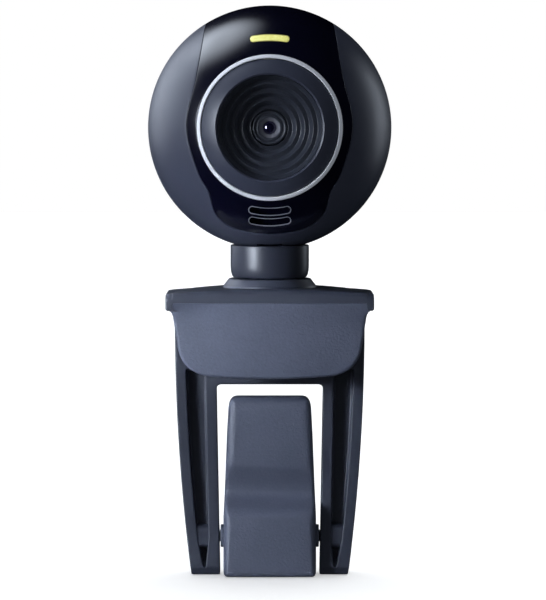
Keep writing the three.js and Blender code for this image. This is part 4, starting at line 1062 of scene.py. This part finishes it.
def leg_section(z, inset=0.0):
    """The right leg's outline at a height, with the groove in its front."""
    low = min(z, HINGE_Z)
    outer, inner = leg_half(low) - inset, leg_inner(z) + inset
    front, back = leg_y(low) - DEPTH / 2, leg_y(low) + DEPTH / 2
    if z > HINGE_Z:  # round the knuckle
        r = KNUCKLE_R * math.cos(math.asin(min(1, (z - HINGE_Z) / KNUCKLE_R)))
        front, back = HINGE_Y - r, HINGE_Y + r
    elif z > HINGE_Z - 4:  # runs into the knuckle
        share = (z - HINGE_Z + 4) / 4
        front = front * (1 - share) + (HINGE_Y - KNUCKLE_R) * share
        back = back * (1 - share) + (HINGE_Y + KNUCKLE_R) * share
    toe = max(0, 1 - z / 2.4) ** 1.4
    front += 1.5 * toe + inset
    back -= 0.6 * toe + inset
    pinch = min(1, max(0, (9 - z) / 7) ** 1.2)  # the groove narrows to a point at the foot
    deep = GROOVE
    if z < 9:
        deep = GROOVE * max(0.005, min(1, (z - 2.0) / 1.6))
    if z > CROSS_TOP - 2:
        deep = GROOVE * max(0.005, 1 - (z - CROSS_TOP + 2) / 0.8)
    middle = (outer + inner) / 2
    tip = middle + 0.15
    g_out = (outer - LEG_WALL) * (1 - pinch) + (tip + 0.35) * pinch
    g_in = (inner + LEG_WALL) * (1 - pinch) + (tip - 0.35) * pinch
    if outer - inner < 2 * LEG_WALL + 1.5:
        g_out, g_in = middle + 0.3, middle - 0.3
    outline = rounded([
        (outer, front, 0.35), (g_out, front, 0.3), (g_out - 0.12, front + deep, 0.45),
        (g_in + 0.12, front + deep, 0.45), (g_in, front, 0.3), (inner, front, 0.35), (inner, back, 0.7),
        (outer, back, 0.7)], 5)
    return xyz(outline[:, 0], outline[:, 1], z)


# The heights of a leg's sections lie closer together where its shape changes quickly.
heights = [0.22, 0.5, 0.9, 1.4, 1.9, 2.1, 2.5, 3, 3.6, 4.4, 5.2, *range(6, 11), 12, *range(15, 45, 5), 44]
heights += [CROSS_LOW, 49, *(CROSS_TOP - under for under in (2, 1.6, 1.2, 0.6)), 55, 57, KNEE_LOW,
            KNEE_Z - 0.4, KNEE_Z, KNEE_Z + 0.6, 62.3, 63.5, 65, HINGE_Z]
heights += [HINGE_Z + (KNUCKLE_R - 0.01) * math.sin(t) for t in np.linspace(0, math.pi / 2, 10)[1:]]
sections = [leg_section(0.0, 0.3), leg_section(0.06, 0.12)] + [leg_section(z) for z in heights]
sections[1][:, 2] = 0.07
leg = loft("leg_frame_fine", sections)
other_leg = mirrored(leg, "leg_left")


def crossbar_section(x):
    """The crossbar's side outline, whose underside curves down into the legs."""
    fillet = 1.2
    drop = min(fillet, max(0.0, abs(x) - (WINDOW_TOP - fillet)))
    low = CROSS_LOW - (fillet - math.sqrt(fillet**2 - drop**2))
    corners = [(leg_y(z) + side * DEPTH / 2, z, 0.45)
               for z, side in ((CROSS_TOP, 1), (CROSS_TOP, -1), (low, -1), (low, 1))]
    return side_loop(x, rounded(corners, 5))


right = [0, 4, 8, 10, *np.linspace(WINDOW_TOP - 1.2, WINDOW_TOP, 8), WINDOW_TOP + 1.0]
crossbar = loft("crossbar", [crossbar_section(x) for x in [-x for x in right[:0:-1]] + right])


def pivot_boss(name, side):
    """The rounded boss in a leg's groove that holds the foot's pin."""
    ring = circle(PIVOT_Y, PIVOT_Z, 3.0)
    front = np.array([leg_y(z) - DEPTH / 2 + 0.35 for z in ring[:, 1]])
    ring[:, 0] = np.maximum(ring[:, 0], front)
    return loft(name, [side_loop(side * x, ring) for x in (WINDOW_FOOT + 1, LEG_FOOT - 1.2)])


combine(leg, [other_leg, crossbar, pivot_boss("boss_r", 1), pivot_boss("boss_l", -1)], "UNION")
piece(leg, "clip_plastic", "leg_frame", sharp=40)

# ---------- foot

FOOT_TOP = foot_hi[2]
FOOT_HALF = WINDOW_FOOT - 0.9
top_half = FOOT_HALF - 1.5
half_foot = curve(outline_through(
    (top_half - 2.2, FOOT_TOP),
    ((top_half + 0.05, FOOT_TOP), (top_half + 0.3, FOOT_TOP - 3)),
    (top_half + 0.62, FOOT_TOP - 9),
    (top_half + 1.02, FOOT_TOP - 19),
    (FOOT_HALF, FOOT_TOP / 3),
    (FOOT_HALF, 8),
    (FOOT_HALF, 1.6),
    ((FOOT_HALF, 0), (FOOT_HALF - 1.4, 0)),
    (0, 0),
))
# Side views (y, z): the front bulges at the foot, has a recess above it and ends in a flat paddle.
front_curve = curve(outline_through(
    (-3.6, 0), ((-5.0, 0), (-5.1, 1.8)), ((-5.05, 9), (-4.8, 14.6)), ((-4.7, 16.6), (-3.5, 17.3)),
    ((-1.6, 18.2), (-0.4, 19.2)), ((0.4, 19.9), (0.35, 21.0)), ((0.1, 23.2), (-0.8, 25.0)),
    ((-1.6, 26.4), (-1.9, 27.6)), ((-2.05, 28.6), (-1.9, 30.4)), (-1.5, FOOT_TOP - 2.6),
    ((-1.3, FOOT_TOP), (1.0, FOOT_TOP + 0.01))), 10)
back_curve = curve(outline_through(
    (3.6, 0), ((6.4, 1.5), (6.4, PIVOT_Z + 2)), ((5.6, FOOT_TOP * 0.5), (4.4, FOOT_TOP * 0.66)),
    (4.6, FOOT_TOP - 1.5), ((4.6, FOOT_TOP), (3.4, FOOT_TOP + 0.01))), 14)
# The slanted side of the foot's face: share of the height, width and depth.
FOOT_EDGE = np.array([(0, 0.9, 0.7), (0.04, 1.3, 2.4), (0.3, 1.9, 2.8), (0.42, 1.0, 1.2), (0.55, 1.0, 1.0),
                      (0.66, 2.0, 1.7), (0.93, 2.5, 1.5), (1, 1.3, 0.6)])


def y_at(line, z):
    return float(np.interp(z, line[:, 1], line[:, 0]))


def foot_edge(z):
    shares, wide, deep = FOOT_EDGE.T
    return float(np.interp(z / FOOT_TOP, shares, wide)), float(np.interp(z / FOOT_TOP, shares, deep))


foot = slab("foot_fine", half_foot, lambda x, z: y_at(front_curve, z) + 0.25 * (x / FOOT_HALF) ** 2,
            lambda x, z: y_at(back_curve, z), foot_edge, lambda z: (0.7, 0.6))
HUB_R = 2.85
hub_outline = rounded([(0, -HUB_HALF, 0), (HUB_R, -HUB_HALF, 0.2), (HUB_R, HUB_HALF, 0.2), (0, HUB_HALF, 0)],
                      3, False)
hub = lathe("hub", hub_outline, (0, PIVOT_Y, PIVOT_Z), "X", 56)
combine(foot, [hub], "UNION")
piece(foot, "grained_plastic", "foot", sharp=50)
pad("foot_sole", "Z", 4)

# ---------- CAD nodes that stay

KEPT = {
    "steel": ("hinge_washer_left", "hinge_washer_right", "leg_hinge_pin", "foot_pivot_pin", "swivel_washer",
              "tilt_clamp", "tilt_spring_washer", "microphone"),
    "rubber": ("microphone_boot",),
    "board_laminate": ("circuit_board",),
    "hood_plastic": ("lens_holder",),
    "component_black": ("image_sensor", "controller_chip", "cable_socket", "status_led"),
}
for look, names in KEPT.items():
    for name in names:
        obj = frame["nodes"][name]
        obj.data.materials.clear()
        obj.data.materials.append(LOOKS[look])
        edge = obj.modifiers.new("edge", "BEVEL")
        edge.width, edge.segments, edge.limit_method = 0.12 * MM, 2, "ANGLE"

# ---------- stage, light and camera, in metres


def staged(name, verts, faces, colour, glow):
    """A pale surface of the studio, which lights nothing and isn't reflected."""
    m = Surface(name)
    m.set(Base_Color=m.blend(m.noise(3), colour, scaled(colour, 1, 0.01)), Roughness=0.9,
          Specular_IOR_Level=0.1, Emission_Color=(1, 1, 1, 1), Emission_Strength=glow)
    mesh = bpy.data.meshes.new(name)
    mesh.from_pydata(verts, [], faces)
    mesh.materials.append(m.owner)
    obj = placed(name, mesh)
    obj.visible_glossy = obj.visible_diffuse = False
    return obj


STAGE_HALF, WALLS_UP = 3.0, 6.0
square = [(x * STAGE_HALF, y * STAGE_HALF) for x, y in ((-1, -1), (1, -1), (1, 1), (-1, 1))]
walls = [(0, 1, 5, 4), (1, 2, 6, 5), (2, 3, 7, 6), (3, 0, 4, 7), (4, 5, 6, 7)]
floor = staged("floor", [(x, y, 0) for x, y in square], [(0, 1, 2, 3)], (0.9, 0.9, 0.9), 0.40)
wall_points = [(x, y, z) for z in (-0.5, WALLS_UP) for x, y in square]
backdrop = staged("backdrop", wall_points, walls, (0, 0, 0), 1.0)
backdrop.visible_shadow = False

world = bpy.data.worlds.new("studio")
bpy.context.scene.world = world
Nodes(world, "Background").set(Color=(0.82, 0.9, 1, 1), Strength=0.30)
world.cycles_visibility.glossy = False


def floor_group(name):
    """A light group that holds the floor."""
    group = bpy.data.collections.new(name)
    group.objects.link(floor)
    return group


all_but_floor, only_floor = floor_group("all_but_floor"), floor_group("only_floor")
all_but_floor.collection_objects[0].light_linking.link_state = "EXCLUDE"
BALL = HEAD * MM
SOFTBOX_COLOUR = (0.80, 0.88, 1.0)
SOFTBOX_CORE = 0.2  # share of a softbox's half-width that is fully lit, before it fades to its edge


def soft_light(name, at, aim, size, power, spread=180):
    """A softbox that fades towards its edges and lights all but the floor. Its spread is in degrees."""
    data = bpy.data.lights.new(name, "AREA")
    data.shape, data.size, data.size_y = "RECTANGLE", size[0], size[1]
    data.energy, data.color, data.spread = power, SOFTBOX_COLOUR, math.radians(spread)
    n = Nodes(data, "Emission")
    place = n.add("ShaderNodeNewGeometry").outputs["Parametric"]
    from_middle = n.vector("LENGTH", n.vector("SUBTRACT", place, (0.5, 0.5, 0)), out="Value")
    n.set(Strength=n.add("ShaderNodeMapRange", _interpolation_type="SMOOTHSTEP", i0=from_middle,
                         i1=SOFTBOX_CORE / 2, i2=0.5, i3=1.0, i4=0.0).outputs[0])
    obj = placed(name, data)
    obj.location = at
    obj.rotation_euler = (Vector(aim) - Vector(at)).to_track_quat("-Z", "Y").to_euler()
    obj.visible_camera = False
    obj.light_linking.receiver_collection = all_but_floor
    return obj


def head_light(name, direction, size, power, distance=0.5):
    """A softbox at a distance from the ball, aimed at it."""
    at = BALL + np.array(direction) / np.linalg.norm(direction) * distance
    return soft_light(name, at, BALL, size, power)


head_light("key_left", (-0.85, 0.50, 0.36), (0.78, 0.75), 6.2)
head_light("top_left", (-0.50, 0.30, 0.85), (0.55, 0.55), 4.2)
head_light("side_right", (0.80, 0.60, 0.15), (0.25, 0.55), 1.1)
head_light("front_left", (-0.80, -0.56, 0.14), (0.22, 0.26), 6.5)
soft_light("near_flap", (-0.130, -0.120, 0.082), (0, 0, 0.067), (0.06, 0.06), 0.052, 31)
soft_light("near_foot", (-0.120, -0.120, 0.014), (0, 0, 0.002), (0.05, 0.05), 0.020, 28)
overhead = soft_light("overhead", (-0.20, -0.42, 0.88), (0, 0, 0.03), (0.5, 0.5), 3.4)
overhead.visible_glossy = False

sun = bpy.data.lights.new("floor_sun", "SUN")
sun.energy, sun.angle = 2.15, math.radians(80)
sun_object = placed("floor_sun", sun)
sun_object.rotation_euler = (math.radians(-16), 0, 0)
sun_object.light_linking.receiver_collection = only_floor

# The camera is level with the ball's middle, 0.7 m in front, and looks a little down and to the right.
camera_data = bpy.data.cameras.new("camera")
camera_data.sensor_width, camera_data.lens, camera_data.clip_end = 36.0, 169.92, 200
camera = placed("camera", camera_data)
bpy.context.scene.camera = camera
camera.location = (0, -0.700, BALL[2])
camera.rotation_euler = (math.radians(90 - 3.48161), 0, math.radians(-0.06575))

bpy.context.scene.view_settings.view_transform = "Standard"
